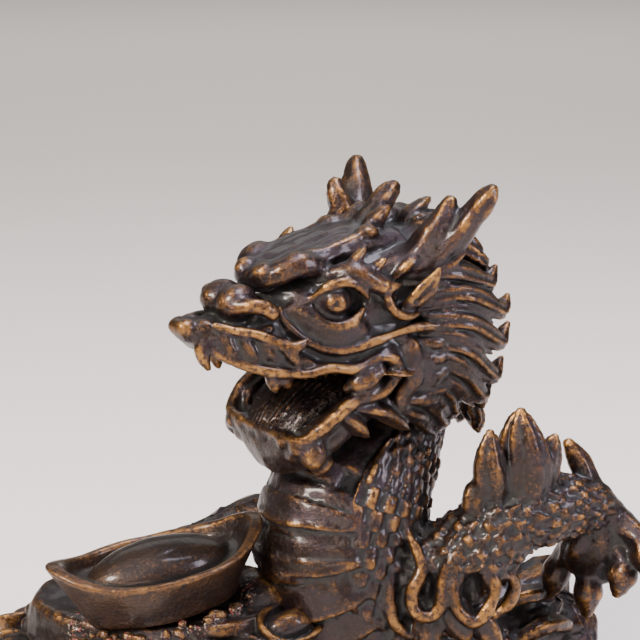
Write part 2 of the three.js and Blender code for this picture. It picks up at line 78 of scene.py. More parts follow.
BODY = [
    (25, 13, 113, 11, 11), (24, 11, 102, 12, 12), (18, 6, 92, 16, 16), (9.5, 0.5, 81, 22, 21.5),
    (6.5, -2.5, 69, 23.5, 22.5), (8.5, -2, 55, 24, 22.5), (16, 3, 39, 23.5, 21), (32, 12, 27.5, 19.5, 17),
    (52, 25, 25, 17, 15.5), (44, 36, 21, 11.5, 11.5), (22, 39.5, 17.5, 8.5, 8.5), (-6, 41, 15.5, 6.8, 6.8),
    (-34, 38.5, 15, 5.4, 5.4), (-56, 31, 18, 4.2, 4.2), (-64, 24, 28, 2.8, 2.8),
]


# ---- clay

def unit(v):
    v = np.asarray(v, float)
    return v / np.maximum(np.linalg.norm(v, axis=-1, keepdims=True), 1e-9)


def soft_min(a, b, k):
    """The smaller of two distances, with the crease between them filled to a radius of about k."""
    if k <= 0:
        return np.minimum(a, b)
    near = np.maximum(k - np.abs(a - b), 0)
    return np.minimum(a, b) - near * near * np.float32(0.25 / k)


def refine(stations, step):
    """A smooth line through the stations, every column carried along, with points about a step apart."""
    rows = np.asarray(stations, float)
    if len(rows) == 1:
        return rows
    ends = np.vstack([2 * rows[0] - rows[1], rows, 2 * rows[-1] - rows[-2]])
    out = []
    for p0, p1, p2, p3 in zip(ends[:-3], ends[1:-2], ends[2:-1], ends[3:]):
        count = max(1, int(round(np.linalg.norm((p2 - p1)[:3]) / step)))
        t = np.linspace(0, 1, count, endpoint=False)[:, None]
        out.append(0.5 * (2 * p1 + (p2 - p0) * t + (2 * p0 - 5 * p1 + 4 * p2 - p3) * t ** 2
                          + (3 * p1 - p0 - 3 * p2 + p3) * t ** 3))
    return np.vstack(out + [rows[-1:]])


class Clay:
    """A block of clay on a regular grid that holds the signed distance to its surface."""

    def __init__(self, low, high, pitch):
        self.low = np.array(low, float)
        self.pitch = pitch
        self.shape = tuple(int(math.ceil((b - a) / pitch)) + 1 for a, b in zip(low, high))
        self.field = np.full(self.shape, FAR, np.float32)
        self.stand()

    def stand(self, origin=(0, 0, 0), turn=None):
        """Sets the frame that strokes are given in: its origin, and its axes as the columns of a matrix."""
        self.origin = np.array(origin, float)
        self.turn = np.eye(3) if turn is None else np.asarray(turn, float)

    def window(self, low, high):
        """The slices that hold a box, and their x, y and z as arrays that broadcast together."""
        first = np.clip(np.floor((np.asarray(low) - self.low) / self.pitch).astype(int), 0, self.shape)
        last = np.clip(np.ceil((np.asarray(high) - self.low) / self.pitch).astype(int) + 1, 0, self.shape)
        cut = tuple(slice(a, b) for a, b in zip(first, last))
        axes = [(self.low[i] + self.pitch * np.arange(first[i], last[i])).astype(np.float32)
                for i in range(3)]
        return cut, (axes[0][:, None, None], axes[1][None, :, None], axes[2][None, None, :])

    def merge(self, cut, part, blend, dig):
        """Adds a part to the clay, or digs it out."""
        old = self.field[cut]
        self.field[cut] = -soft_min(-old, part, blend) if dig else soft_min(old, part, blend)

    def blob(self, centre, radii, axes=None, blend=1.0, dig=False):
        """Adds or digs an ellipsoid, whose own axes are the rows of a matrix."""
        centre = self.origin + self.turn @ np.asarray(centre, float)
        reach = max(radii) + blend + 2.5
        cut, (x, y, z) = self.window(centre - reach, centre + reach)
        x, y, z = x - np.float32(centre[0]), y - np.float32(centre[1]), z - np.float32(centre[2])
        rows = (np.eye(3) if axes is None else np.asarray(axes)) @ self.turn.T
        near, far = 0, 0
        for row, r in zip(rows, radii):
            own = (x * np.float32(row[0]) + y * np.float32(row[1]) + z * np.float32(row[2])) / np.float32(r)
            near = near + own ** 2
            far = far + (own / np.float32(r)) ** 2
        near, far = np.sqrt(near), np.sqrt(far)
        self.merge(cut, near * (near - 1) / np.maximum(far, 1e-6), blend, dig)

    def sweep(self, stations, up=UP, blend=1.0, dig=False, step=2.0, relief=None, depth=0.0):
        """Adds or digs a body swept through stations: x, y, z and half width and height, or x, y, z and radius.
        Half width is across the line and the up direction. relief(along, angle, radius) raises the skin."""
        rows = refine([(*station, station[3])[:5] for station in stations], step)
        centre, half = self.origin + rows[:, :3] @ self.turn.T, np.maximum(rows[:, 3:5], 0.05)
        ahead = unit(np.gradient(centre, axis=0))
        side = unit(np.cross(self.turn @ np.array(up, float), ahead))
        over = np.cross(ahead, side)
        travel = np.concatenate([[0], np.cumsum(np.linalg.norm(np.diff(centre, axis=0), axis=1))])
        margin = blend + depth + 2.2
        reach = half.max(axis=1)[:, None] + margin
        cut, _ = self.window(centre.min(0) - reach.max(), centre.max(0) + reach.max())
        origin = [c.start for c in cut]
        part = np.full([c.stop - c.start for c in cut], FAR, np.float32)
        if part.size == 0:
            return
        notes = [np.zeros(part.shape, np.float32) for _ in range(3)] if relief else []
        for i in range(len(rows) - 1):
            ends = centre[i:i + 2]
            span = reach[i:i + 2].max()
            box, (x, y, z) = self.window(ends.min(0) - span, ends.max(0) + span)
            local = tuple(slice(b.start - o, b.stop - o) for b, o in zip(box, origin))
            run = (ends[1] - ends[0]).astype(np.float32)
            long = float(run @ run) or 1e-6
            x, y, z = x - np.float32(ends[0][0]), y - np.float32(ends[0][1]), z - np.float32(ends[0][2])
            t = np.clip((x * run[0] + y * run[1] + z * run[2]) / np.float32(long), 0, 1)
            x, y, z = x - t * run[0], y - t * run[1], z - t * run[2]

            def along_axis(vectors):
                a, b = vectors[i].astype(np.float32), vectors[i + 1].astype(np.float32)
                base = x * a[0] + y * a[1] + z * a[2]
                if np.abs(b - a).max() < 1e-4:
                    return base
                d = b - a
                return base + t * (x * d[0] + y * d[1] + z * d[2])

            wide = np.float32(half[i, 0]) + t * np.float32(half[i + 1, 0] - half[i, 0])
            high = np.float32(half[i, 1]) + t * np.float32(half[i + 1, 1] - half[i, 1])
            u, v, w = along_axis(side) / wide, along_axis(over) / high, along_axis(ahead)
            least = np.minimum(wide, high)
            w = w / least
            near = np.sqrt(u * u + v * v + w * w)
            far = np.sqrt((u / wide) ** 2 + (v / high) ** 2 + (w / least) ** 2)
            distance = near * (near - 1) / np.maximum(far, 1e-6)
            closer = distance < part[local]
            part[local] = np.where(closer, distance, part[local])
            if relief:
                values = (travel[i] + t * (travel[i + 1] - travel[i]), np.arctan2(v, u), 0.5 * (wide + high))
                for note, value in zip(notes, values):
                    note[local] = np.where(closer, value, note[local])
        if relief:
            band = np.abs(part) < depth + 2.0
            part[band] -= relief(*[note[band] for note in notes])
        self.merge(cut, part, blend, dig)

    def carve(self, low, high, distance, blend=1.0, dig=False):
        """Adds or digs a shape given by its distance at x, y and z in the stroke frame.
        The box low to high is in the scene's own axes."""
        cut, (x, y, z) = self.window(low, high)
        x, y, z = (a - np.float32(o) for a, o in zip((x, y, z), self.origin))
        own = [x * np.float32(c[0]) + y * np.float32(c[1]) + z * np.float32(c[2]) for c in self.turn.T]
        self.merge(cut, distance(*own).astype(np.float32), blend, dig)

    def twins(self, stations, **options):
        """The same sweep on the near side and the far side."""
        for s in (1, -1):
            self.sweep([(r[0], s * r[1], *r[2:]) for r in stations], **options)

    def weather(self, depth, size):
        """Raises and lowers the surface a little, like a wax worked by hand."""
        near = np.abs(self.field) < 2.0
        spots = np.argwhere(near).astype(np.float32) * np.float32(self.pitch / size)
        rough = 0
        for i in range(7):
            way = np.array([math.cos(2.1 * i + 1), math.sin(1.3 * i + 2),
                            math.cos(3.7 * i)]) * (1 + 0.35 * i)
            rough = rough + np.sin(spots @ way.astype(np.float32) + 1.7 * i) / (1 + 0.35 * i)
        self.field[near] -= np.float32(depth / 2) * rough

    def sample(self, points, grid=None):
        """The grid's value at points, by trilinear interpolation."""
        grid = self.field if grid is None else grid
        place = (points - self.low) / self.pitch
        cell = np.clip(np.floor(place).astype(int), 0, np.array(self.shape) - 2)
        f = np.clip(place - cell, 0, 1)
        total = 0
        for corner in np.ndindex(2, 2, 2):
            weight = np.prod([f[:, k] if corner[k] else 1 - f[:, k] for k in range(3)], axis=0)
            total = total + weight * grid[tuple((cell + corner).T)]
        return total

    def slope(self, points):
        """The direction out of the surface at points."""
        h = self.pitch * 0.75
        return unit(np.stack([self.sample(points + h * e) - self.sample(points - h * e)
                              for e in np.eye(3)], axis=1))

    def skin(self):
        """A closed skin of quads on the surface: one point in each cell that the surface crosses."""
        inside = self.field < 0
        count = np.zeros(tuple(n - 1 for n in self.shape), np.int8)
        for i, j, k in np.ndindex(2, 2, 2):
            count += inside[i:self.shape[0] - 1 + i, j:self.shape[1] - 1 + j, k:self.shape[2] - 1 + k]
        live = np.argwhere((count > 0) & (count < 8))
        number = np.full(count.shape, -1, np.int32)
        number[tuple(live.T)] = np.arange(len(live))
        total = np.zeros((len(live), 3))
        hits = np.zeros(len(live))
        for a in np.ndindex(2, 2, 2):
            for axis in range(3):
                if a[axis]:
                    continue
                b = np.array(a)
                b[axis] = 1
                da = self.field[tuple((live + a).T)].astype(float)
                db = self.field[tuple((live + b).T)].astype(float)
                crosses = (da < 0) != (db < 0)
                t = np.where(crosses, da / np.where(crosses, da - db, 1), 0)
                spot = np.array(a, float) + t[:, None] * (b - np.array(a))
                total += np.where(crosses[:, None], spot, 0)
                hits += crosses
        points = self.low + self.pitch * (live + total / hits[:, None])
        quads = []
        for axis in range(3):
            others = [k for k in range(3) if k != axis]
            low_side = [slice(1, -1)] * 3
            low_side[axis] = slice(0, -1)
            high_side = [slice(1, -1)] * 3
            high_side[axis] = slice(1, None)
            here, there = inside[tuple(low_side)], inside[tuple(high_side)]
            edges = np.argwhere(here != there)
            leaving = here[tuple(edges.T)]
            edges = edges + [0 if k == axis else 1 for k in range(3)]
            ring = []
            for du, dv in ((-1, -1), (0, -1), (0, 0), (-1, 0)):
                cell = edges.copy()
                cell[:, others[0]] += du
                cell[:, others[1]] += dv
                ring.append(number[tuple(cell.T)])
            ring = np.stack(ring, axis=1)
            flip = leaving if axis != 1 else ~leaving
            quads.append(np.where(flip[:, None], ring, ring[:, ::-1]))
        for _ in range(2):
            points = points - self.slope(points) * np.clip(self.sample(points), -0.3, 0.3)[:, None]
        return points, np.vstack(quads)

    def blurred(self, reach):
        """The clay's distances, averaged twice over boxes: high on ridges and low in hollows."""
        grid = np.clip(self.field, -3, 3)
        n = max(1, int(round(reach / self.pitch)))
        for _ in range(2):
            for axis in range(3):
                padded = np.concatenate([np.take(grid, [0] * (n + 1), axis), grid,
                                         np.take(grid, [-1] * n, axis)], axis)
                total = np.cumsum(padded, axis=axis, dtype=np.float32)
                head = np.take(total, range(2 * n + 1, total.shape[axis]), axis)
                grid = (head - np.take(total, range(0, total.shape[axis] - 2 * n - 1), axis)) / (2 * n + 1)
        return grid


def build(name, clay, limit, keep=None, fine=1.0, broad=3.0):
    """Skins the clay as an object in metres, thinned to a number of triangles, with its masks for wear, dirt
    and painted shade.
    """
    points, quads = clay.skin()
    mesh = bpy.data.meshes.new(name)
    mesh.vertices.add(len(points))
    mesh.vertices.foreach_set("co", (points * MM).astype(np.float32).ravel())
    mesh.loops.add(4 * len(quads))
    mesh.loops.foreach_set("vertex_index", quads.astype(np.int32).ravel())
    mesh.polygons.add(len(quads))
    mesh.polygons.foreach_set("loop_start", np.arange(0, 4 * len(quads), 4, dtype=np.int32))
    mesh.update(calc_edges=True)
    piece = bpy.data.objects.new(name, mesh)
    bpy.context.scene.collection.objects.link(piece)
    ratio = limit / (2.0 * len(quads))
    if ratio < 1:
        thin = piece.modifiers.new("thin", "DECIMATE")
        thin.ratio = ratio
        if keep is not None:
            weight = np.clip(keep(points), 0, 1)
            group = piece.vertex_groups.new(name="thin")
            for step in range(11):
                chosen = np.flatnonzero(np.rint(weight * 10) == step)
                group.add(chosen.tolist(), step / 10, "REPLACE")
            thin.vertex_group = "thin"
            thin.vertex_group_factor = 1.0
        apply_modifier(piece, "thin")
    finish_skin(piece, clay, fine, broad)
    return piece


def apply_modifier(piece, name):
    with bpy.context.temp_override(object=piece, active_object=piece, selected_objects=[piece]):
        bpy.ops.object.modifier_apply(modifier=name)


def points_of(mesh):
    """A mesh's points in millimetres."""
    points = np.empty(3 * len(mesh.vertices), np.float32)
    mesh.vertices.foreach_get("co", points)
    return points.reshape(-1, 3) / MM


def write_mask(mesh, label, values):
    """Stores a value from zero to one at each point, for the materials to read."""
    layer = mesh.attributes.new(label, "FLOAT", "POINT")
    layer.data.foreach_set("value", np.clip(values, 0, 1).astype(np.float32))


def finish_skin(piece, clay, fine, broad):
    """Smooth shading and three masks: edge and ridge on narrow and broad ridges, and hollow in creases."""
    mesh = piece.data
    mesh.polygons.foreach_set("use_smooth", np.ones(len(mesh.polygons), bool))
    points = points_of(mesh)
    near = clay.sample(points, clay.blurred(fine)) / (0.30 * fine)
    wide = clay.sample(points, clay.blurred(broad)) / (0.30 * broad)
    write_mask(mesh, "edge", near)
    # The hollow mask darkens the creases in the patinas: dirt and painted shade.
    write_mask(mesh, "hollow", np.maximum(-wide, -0.7 * near))
    write_mask(mesh, "ridge", wide)
    mesh.update()


# ---- relief: heights raised on a sweep, from the length along it, the angle round it and its radius

def scales(columns, pitch, lift, clear=4.0):
    """Staggered rows of overlapping rounded scales, free at the end that the sweep runs to.
    They stop at an angle of clear to either side."""
    def relief(along, angle, radius):
        height = np.full(along.shape, -0.5 * lift, np.float32)
        for shift in (-3, -2, -1, 0, 1):
            row = np.floor(along / pitch) + shift
            column = angle * (columns / (2 * math.pi)) + 0.5 * np.mod(row, 2)
            middle = np.rint(column)
            chance = np.mod(np.sin(row * 12.99 + middle * 78.23) * 4375.85, 1)
            run = (along - (row + 0.5 + 0.2 * chance) * pitch) / (1.25 * pitch)
            across = (column - middle) / 0.62
            pinch = 0.55 * np.maximum(run, 0) * np.abs(across)
            round_off = 1 - np.clip(run * run + across * across + pinch, 0, 4)
            raised = lift * (0.8 + 0.3 * chance) * (run - 0.2) + 0.5 * lift * (1 - across * across)
            height = np.maximum(height,
                                np.where(round_off > 0, raised - 0.05 * lift / (round_off + 0.08), -9))
        return np.where(np.abs(angle) < clear, height * np.clip(radius / 6, 0.35, 1), -0.3 * lift)
    return relief


def plates(pitch, lift, arch, start=0.0):
    """Belly plates that step outwards at their lower edges, the edges arched about the front."""
    def relief(along, angle, radius):
        off = angle - 0.5 * math.pi
        place = np.mod((along - start + arch * np.sin(off) ** 2) / pitch, 1)
        edge = np.clip((1 - place) / 0.07, 0, 1)
        return lift * (place ** 1.6 * edge - 0.35 * np.exp(-(place / 0.06) ** 2))
    return relief


def strands(count, depth, twist=0.0):
    """Round strands side by side, with sharp grooves between them."""
    def relief(along, angle, radius):
        return depth * np.minimum(radius / 3,
                                  1) * (np.abs(np.cos(0.5 * count * angle + twist * along)) - 0.8)
    return relief


def flame(root, tip, wide, thick, bend=(0, 0, 0), swell=0.33):
    """Stations of a bent leaf or flame from its root to its tip."""
    rows = []
    for t in (0, 0.25, 0.5, 0.75, 0.92, 1):
        fade = max(0, math.sin(math.pi * min(1, 0.25 + 0.75 * t) ** 1.15)) ** 0.8
        k = 0.24 + 0.76 * fade if t > swell else 0.8 + 0.2 * t / swell
        place = [a + (b - a) * t + c * math.sin(math.pi * t) for a, b, c in zip(root, tip, bend)]
        rows.append((*place, max(wide * k, 0.5), max(thick * k, 0.5)))
    return rows


# ---- the dragon

def trunk(clay):
    """Neck, belly, coil and tail, scaled, with the plates down the front and fins down the back."""
    clay.sweep(BODY[:9], up=LEAN, step=3, relief=scales(25, 4.0, 1.8, 2.36), depth=1.9, blend=0)
    clay.sweep(BODY[8:12], up=LEAN, step=3, relief=scales(16, 3, 1.2), depth=1.2, blend=1.5)
    clay.sweep(BODY[11:], up=LEAN, step=2.5, relief=scales(10, 2.6, 0.9), depth=1.0, blend=1)
    face = np.array([-0.7071, -0.7071, 0])
    front = [(x + 0.34 * a * face[0], y + 0.34 * a * face[1], z, 0.82 * a, 0.77 * a) for x, y, z, a,
             _ in BODY[1:8]]
    clay.sweep(front, up=face, step=3, relief=plates(0.9 * PLATE_PITCH, 1.9, 3.0, 4), depth=2.0, blend=0.3)
    seam = math.radians(141)
    for s in (1, -1):
        line = []
        for x, y, z, a, b in refine(BODY[2:8], 5):
            along, over = (a + 0.7) * math.cos(seam), s * (b + 0.7) * math.sin(seam)
            line.append((x + 0.7071 * (along + over), y + 0.7071 * (along - over), z, 1.5, 1.5))
        clay.sweep(line, blend=0.5)
    for i in range(9):
        t = 1 + 0.62 * i
        a, b = BODY[int(t)], BODY[int(t) + 1]
        x, y, z, r, _ = [p + (q - p) * (t - int(t)) for p, q in zip(a, b)]
        away = unit([0.8, 0.6 - 0.03 * i, 0.1])
        root = np.array([x, y, z]) + away * (r - 3)
        tip = np.array([x, y, z]) + away * (r + 3.6) - np.array([0, 0, 1.6])
        clay.sweep(flame(root, tip, 2.6, 3.6), blend=0.8, relief=strands(5, 0.5), depth=0.5)


def skull(clay):
    """The masses of the head with the mouth and eye sockets dug out."""
    clay.sweep([(-14, 0, -3, 13), (-4, 0, 0.5, 18, 16), (8, 0, 1, 19.4, 15.5), (20, 0, 0, 19.6, 14.5),
                (32, 0, -0.5, 17.5, 12), (42, 0, -1.5, 13.4, 8.6), (50, 0, -3, 9.6, 6)], blend=3)
    clay.sweep([(10, 0, -6, 19.5, 8), (28, 0, -6.8, 19, 8), (42, 0, -6.6, 16.6, 7.6),
                (52, 0, -5.6, 12.6, 6.4),
                (60, 0, -3.8, 8.4, 4.8), (66, 0, -1.8, 5, 3.6), (69, 0, -0.4, 3, 2.6)], blend=2)
    clay.twins([(14, 15, -9, 6, 5.5), (30, 14.5, -9.4, 5.5, 5), (44, 11.5, -9.6, 5, 4.4),
                (54, 8, -8, 4, 3.6)], blend=2)
    clay.sweep([(-8, 0, 8, 15, 11), (-9, 0, -6, 18, 14), (-8, 0, -22, 16, 14), (-8, 0, -36, 12)],
               up=AHEAD, blend=3)
    clay.sweep([(46, 0, 9.4, 8.6, 3), (40, 0, 12, 10.6, 3.4), (30, 0, 14, 11.6, 3.8), (16, 0, 15.8, 11, 4.4),
                (4, 0, 14.6, 11, 5)], blend=1.2)
    clay.sweep([(4, 0, -20, 11, 7), (20, 0, -18.6, 14.5, 7), (34, 0, -18.4, 14.6, 6),
                (46, 0, -16, 11.5, 4.6),
                (57, 0, -12, 6, 3), (63, 0, -9, 2.4, 2)], blend=1.2, dig=True, relief=strands(12, 0.7),
               depth=0.8)
    for s in (1, -1):
        clay.blob((31, 20.2 * s, 4.4), (9.4, 8.4, 6.4), blend=1.6, dig=True)
        clay.blob((44, 10.5 * s, 6.5), (3.4, 3.6, 3.2), blend=2, dig=True)


def eyes(clay):
    for s in (1, -1):
        gaze = unit([0.42, 0.9 * s, 0.03])
        across = unit(np.cross(gaze, UP))
        axes = np.array([gaze, across, np.cross(across, gaze)])
        ball = np.array([30.6, 14.2 * s, 4.1])
        clay.blob(ball, (5.4, 5.4, 5), blend=0.5)
        clay.blob(ball + 4.7 * gaze, (1.2, 2.6, 2.5), axes=axes, blend=0.7)
        clay.blob(ball + 6.3 * gaze, (1.3, 1.2, 1.2), axes=axes, blend=0.5, dig=True)
    clay.twins([(37.4, 13, 3.4, 0.8), (35.6, 16.2, -0.4, 1.3, 1.2), (32, 18.6, -2.2, 1.5, 1.3),
                (27.6, 19.4, -1.4, 1.3, 1.2), (24, 19.2, 1.6, 0.8)], blend=0.9)
    clay.twins([(37, 13.4, 5, 0.8), (34.6, 16.6, 8.4, 1.4, 1.3), (30, 18.6, 9.6, 1.6, 1.5),
                (25.6, 19.2, 7.8, 1.4, 1.3), (22.6, 19.4, 4.4, 0.8)], blend=0.9)


def brows(clay):
    """Heavy two-lobed brows with flame tips, the ridged forehead plate and its front knobs."""
    clay.twins([(45, 5, 9.6, 2.6, 2.4), (42, 7.4, 12.2, 3.9, 3.4), (37.6, 9, 13.4, 4, 3.6),
                (33, 10, 12.2, 3.2, 3.1),
                (29.6, 10.6, 11, 2.2)], blend=0.8, relief=strands(3, 0.25, 0.05), depth=0.5)
    clay.twins([(32, 11.4, 9.2, 2), (28.6, 13.6, 10.4, 3.6, 3), (24.4, 16.4, 10.8, 4.3, 3.4),
                (20, 18.8, 8.6, 3.8, 3),
                (16.6, 20.6, 6.6, 2.4, 2), (13.6, 22, 7, 0.8)], blend=0.7)
    for root, tip, wide in (((26, 15, 11.6), (21.4, 16.6, 17.4), 2.4),
                            ((21.4, 18, 10.4), (17, 19.6, 14.2), 2.2),
                            ((19, 17.4, 6.4), (13.8, 20.4, 3.4), 2)):
        clay.twins(flame(root, tip, wide, 1.8), blend=1)
    clay.twins([(39, 7, 15.6, 0.9), (32, 8.4, 15.8, 1.2), (24, 9, 17, 1.3),
                (16, 8.4, 18.8, 1.5),
                (10, 5, 21, 1.2)], blend=0.8)
    for s in (1, -1):
        clay.blob((45.4, 4.2 * s, 11.4), (3.6, 3.2, 3), blend=0.8)
        clay.blob((14, 8.4 * s, 19.4), (3.2, 2.6, 1.7), blend=1.6)
    for s in (1, -1):
        clay.sweep([(42, 3.2 * s, 15.4, 0.8, 0.5), (30, 4.2 * s, 18, 1.4, 0.7),
                    (18, 3.6 * s, 20.4, 1.2, 0.7)], dig=True, blend=1.2)


def snout(clay):
    """Nose, nostrils, the cord that runs from the nose back under the cheek, lips and teeth."""
    for s in (1, -1):
        clay.blob((54, 3.6 * s, 4.4), (5.8, 5.2, 5.2), blend=1.4)
        clay.blob((68.2, 1.7 * s, -0.2), (3.2, 2.4, 2.4), blend=0.7)
        clay.blob((64.4, 3.2 * s, -0.6), (3, 2.6, 2.6), blend=0.8)
        clay.blob((53.4, 9.6 * s, 0.4), (3.6, 2.6, 2.2), blend=0.7, dig=True)
    clay.twins([(57, 6.4, 4, 1.6, 1.8), (54.4, 9.4, 5, 2, 2.1), (50.4, 11.6, 4.2, 2.1, 2.2),
                (47.4, 12.6, 1.6, 1.5, 1.8),
                (46, 12.8, -1, 0.8, 0.9)], blend=0.8)
    clay.twins([(57, 8.2, -1.6, 0.9), (53, 10.6, -2.2, 1.2, 1.1), (49.4, 12.2, -1.2, 1)], blend=0.5)
    cord = [(45.4, 10.8, 3.4), (45, 11.4, 0.8), (43.6, 12.6, -1.6), (39.6, 14.6, -5.6),
            (33.8, 17.6, -8.6), (27.6, 19.8, -8.8),
            (20.8, 21.4, -7.3), (13.6, 22.4, -5.8), (7, 23.2, -5.2), (1.6, 23.8, -6.2), (-3, 23.2, -9)]
    clay.twins([(f, l + 3.2, u - 1, 3.2, 3.4) for f, l, u in cord[1:8]], blend=2, dig=True)
    clay.twins([(f + 0.4, l + 1.2, u - 2.8, 1.2, 1.4) for f, l, u in cord[2:8]], blend=1.4, dig=True)
    clay.twins([(*p, r, r) for p, r in zip(cord,
                                           (0.7, 1, 1.2, 1.3, 1.35, 1.35, 1.3, 1.3, 1.4, 1.5, 0.8))],
               blend=0.4)
    clay.twins([(62.4, 6.2, 0.2, 0.9), (58.6, 9.2, -1, 1.5, 1.3), (53.6, 12.2, -2.2, 1.8, 1.5),
                (49.4, 14.2, -4.8, 1.9, 1.6), (45.6, 16, -6.6, 1.8, 1.6), (42.4, 17, -5.6, 1.4, 1.3),
                (40.6, 17.4, -4.4, 0.6)], blend=0.6)
    for i, (f, l) in enumerate(((60.4, 7.4), (56, 10), (51.4, 12.6), (46.6, 15))):
        clay.twins([(f, l, -2.6 - 1.1 * i, 1.8, 1.6), (f - 1.2, l + 0.8, -6.2 - 0.7 * i, 2.3, 1.9),
                    (f - 3.2, l + 0.8, -10 - 0.4 * i, 1.6, 1.4)], blend=0.8)
    clay.twins([(66, 4, -4, 1.1), (61, 7.6, -8, 1.5, 1.3), (55.6, 12, -11, 1.3, 1.2),
                (49, 15.4, -12.4, 1.7, 1.5),
                (42, 17.8, -13.8, 1.3, 1.2), (35, 19.2, -13, 1.8, 1.5), (28, 20.4, -14.2, 1.4, 1.3),
                (21.4, 21.2, -12.6, 1.6, 1.4), (16, 21.4, -10.6, 1.0)], blend=1.1)
    clay.sweep([(64.8, 3.4, -3.4, 2.3, 2.2), (65.6, 4.2, -6, 2.2, 2.1), (65.4, 4.7, -9, 1.7, 1.6),
                (64.2, 4.9, -11.4, 0.8)],
               up=ACROSS, blend=0.7)
    for root, tip, wide in (((50.4, 14, -12), (48.6, 13.4, -18.4), 2.2),
                            ((46.8, 15, -12.4), (44.6, 13.8, -17.8), 2.4)):
        clay.twins(flame(root, tip, wide, 1.7), up=ACROSS, blend=0.6)
    for i in range(6):
        clay.twins(flame((41 - 3 * i, 16.4 + 0.4 * i, -12.6), (40.6 - 3 * i, 16 + 0.4 * i, -15.8), 1.1,
                         1), up=ACROSS, blend=0.3)


def horns(clay):
    """Broad forked horns with a spur at the root, the crest between them and the leaf ears."""
    grain = dict(relief=strands(5, 0.55, 0.06), depth=0.6, blend=1.2)
    clay.twins([(12, 12, 9, 4.6, 4), (5, 14.4, 10.6, 6.4, 5), (-1, 18, 13.4, 6.6, 5.2),
                (-6, 22.6, 19, 5.6, 4.4),
                (-9.2, 26.6, 25.4, 4.3, 3.6), (-11.2, 29, 29.4, 3.2, 2.8), (-11.8, 29.6, 31, 2.2, 2)],
               **grain)
    for s in (1, -1):
        clay.sweep([(4, 16 * s, 12, 5.4, 4), (0.6 - s, 18.4 * s, 18.4, 5, 4),
                    (-0.6 - 3.2 * s, 20.2 * s, 24, 3.7, 3.2),
                    (-1 - 3.8 * s, 20.8 * s, 27.2, 2.2, 2)], **grain)
        clay.sweep(flame((12, 17 * s, 8), (6.4, 20 * s, 13.4), 2.2, 1.7), blend=0.8)
        clay.sweep(flame((3, 20 * s, 9), (-6, 25.4 * s, 13.6), 2.6, 1.8, bend=(0, 0, -1.2)), blend=0.8)
        clay.blob((12.6, 22.6 * s, 3.2), (3.6, 3.2, 3.6), blend=1, dig=True)
        clay.sweep([(11.6, 19.6 * s, -0.6, 1.6), (9.4, 22.6 * s, 1.6, 1.6, 3),
                    (7, 24.8 * s, 5, 1.5, 3.4),
                    (5, 26 * s, 8.4, 1.1, 2), (3.8, 26.6 * s, 11, 0.6, 0.7)], up=(0.9, 0, 0.4), blend=0.7)
        clay.sweep([(10, 24.2 * s, 2.4, 0.8, 0.5), (7.4, 26.4 * s, 5.6, 0.9, 0.5),
                    (5.4, 27.4 * s, 8.4, 0.6, 0.4)],
                   up=(0.9, 0, 0.4), blend=0.4, dig=True)
        clay.sweep([(17.4, 21 * s, 5, 1), (16.6, 22.4 * s, 0.8, 1.3, 1.2),
                    (12.6, 22.8 * s, -1.8, 1.3, 1.2),
                    (8, 23 * s, -1.6, 1)], blend=0.7)
    clay.sweep([(12, 0, 14, 4.8, 4), (7, 0, 20, 4.4, 3.4), (3, 0, 24.6, 4, 3.2), (-0.6, 0, 27.8, 3, 2.6),
                (-2, 0, 29, 2.1, 1.9)],
               up=AHEAD, relief=strands(5, 0.5), depth=0.6)
    for root, tip, wide in (((2, -6, 13), (-11.6, -8, 21.4), 3.4), ((1, 5, 12), (-14, 6.4, 19), 3.4),
                            ((12, 4, 16), (4, 5.4, 25), 2.6),
                            ((12, -4, 16), (4.6, -6, 24), 2.6), ((-3, 0, 15), (-15, 0, 24), 3.2)):
        clay.sweep(flame(root, tip, wide, 2.8, bend=(0, 0, 1)), relief=strands(5, 0.45), depth=0.5)


def lock(clay, path, wide=4.4, thick=3.4, count=5):
    """A wavy lock of mane with grooved strands; it thins towards a tip that turns up."""
    last = len(path) - 1
    rows = []
    for i, place in enumerate(path):
        k = (1.0, 1.08, 1.0, 0.78, 0.22)[round(4 * i / last)]
        rows.append((*place, wide * k, thick * k))
    clay.sweep(rows, blend=0.7, relief=strands(count + 2, 1.05, 0.05), depth=1.1, step=1.6)


def mane(clay):
    near = (
        ((5, 17, 9), (-4, 21, 8.6), (-12, 22, 5.4), (-18, 21, 3), (-23, 19.6, 6.6)),
        ((3, 19, 2), (-7, 23, 2.4), (-15, 24, -1.6), (-21, 23.4, -5), (-25.8, 22, -1.6)),
        ((2, 20, -4), (-7, 24, -5.6), (-15, 24, -10.6), (-21, 23.2, -14), (-26.4, 22, -10)),
        ((1, 20, -10), (-7, 23, -13), (-14, 22.8, -19.6), (-20, 22, -24), (-25, 21, -20.2)),
        ((0, 19, -15), (-7, 21.4, -20), (-12, 21, -25.4), (-17, 20.6, -29.6), (-22.4, 20, -26)),
        ((2, 18, -20), (-3, 19.4, -25.4), (-6, 18.4, -30), (-9, 17.6, -33.4), (-12.8, 17, -29.8)),
        ((5, 16, -24), (1, 17, -29.6), (-3, 16, -34), (-7, 15, -37), (-11.2, 14, -33.4)),
    )
    for path in near:
        for s in (1, -1):
            lock(clay, [(x, y * s, z) for x, y, z in path])
            lock(clay, [(x + 2.4, y * s + 0.8 * s, z - 3.2) for x, y, z in path[:4]], 2.4, 2.2, 4)
    for row, height in enumerate((13, 4, -5, -14, -23, -32)):
        for k in range(-2, 3):
            across = 7.4 * k + (3.7 if row % 2 else 0)
            if abs(across) > 17:
                continue
            back = 27 - across * across / 52 - (3 if height > 10 else 0)
            sway = 1.8 * math.sin(2.3 * row + 1.9 * k)
            lock(clay, [(-8, 0.7 * across, height + 5), (-0.66 * back, 0.85 * across + sway, height + 4),
                        (-0.86 * back, across - sway, height - 2.4),
                        (-0.98 * back, 1.05 * across, height - 8),
                        (-0.99 * back, 1.05 * across + sway, height - 12.5)], 4.8, 3.4)


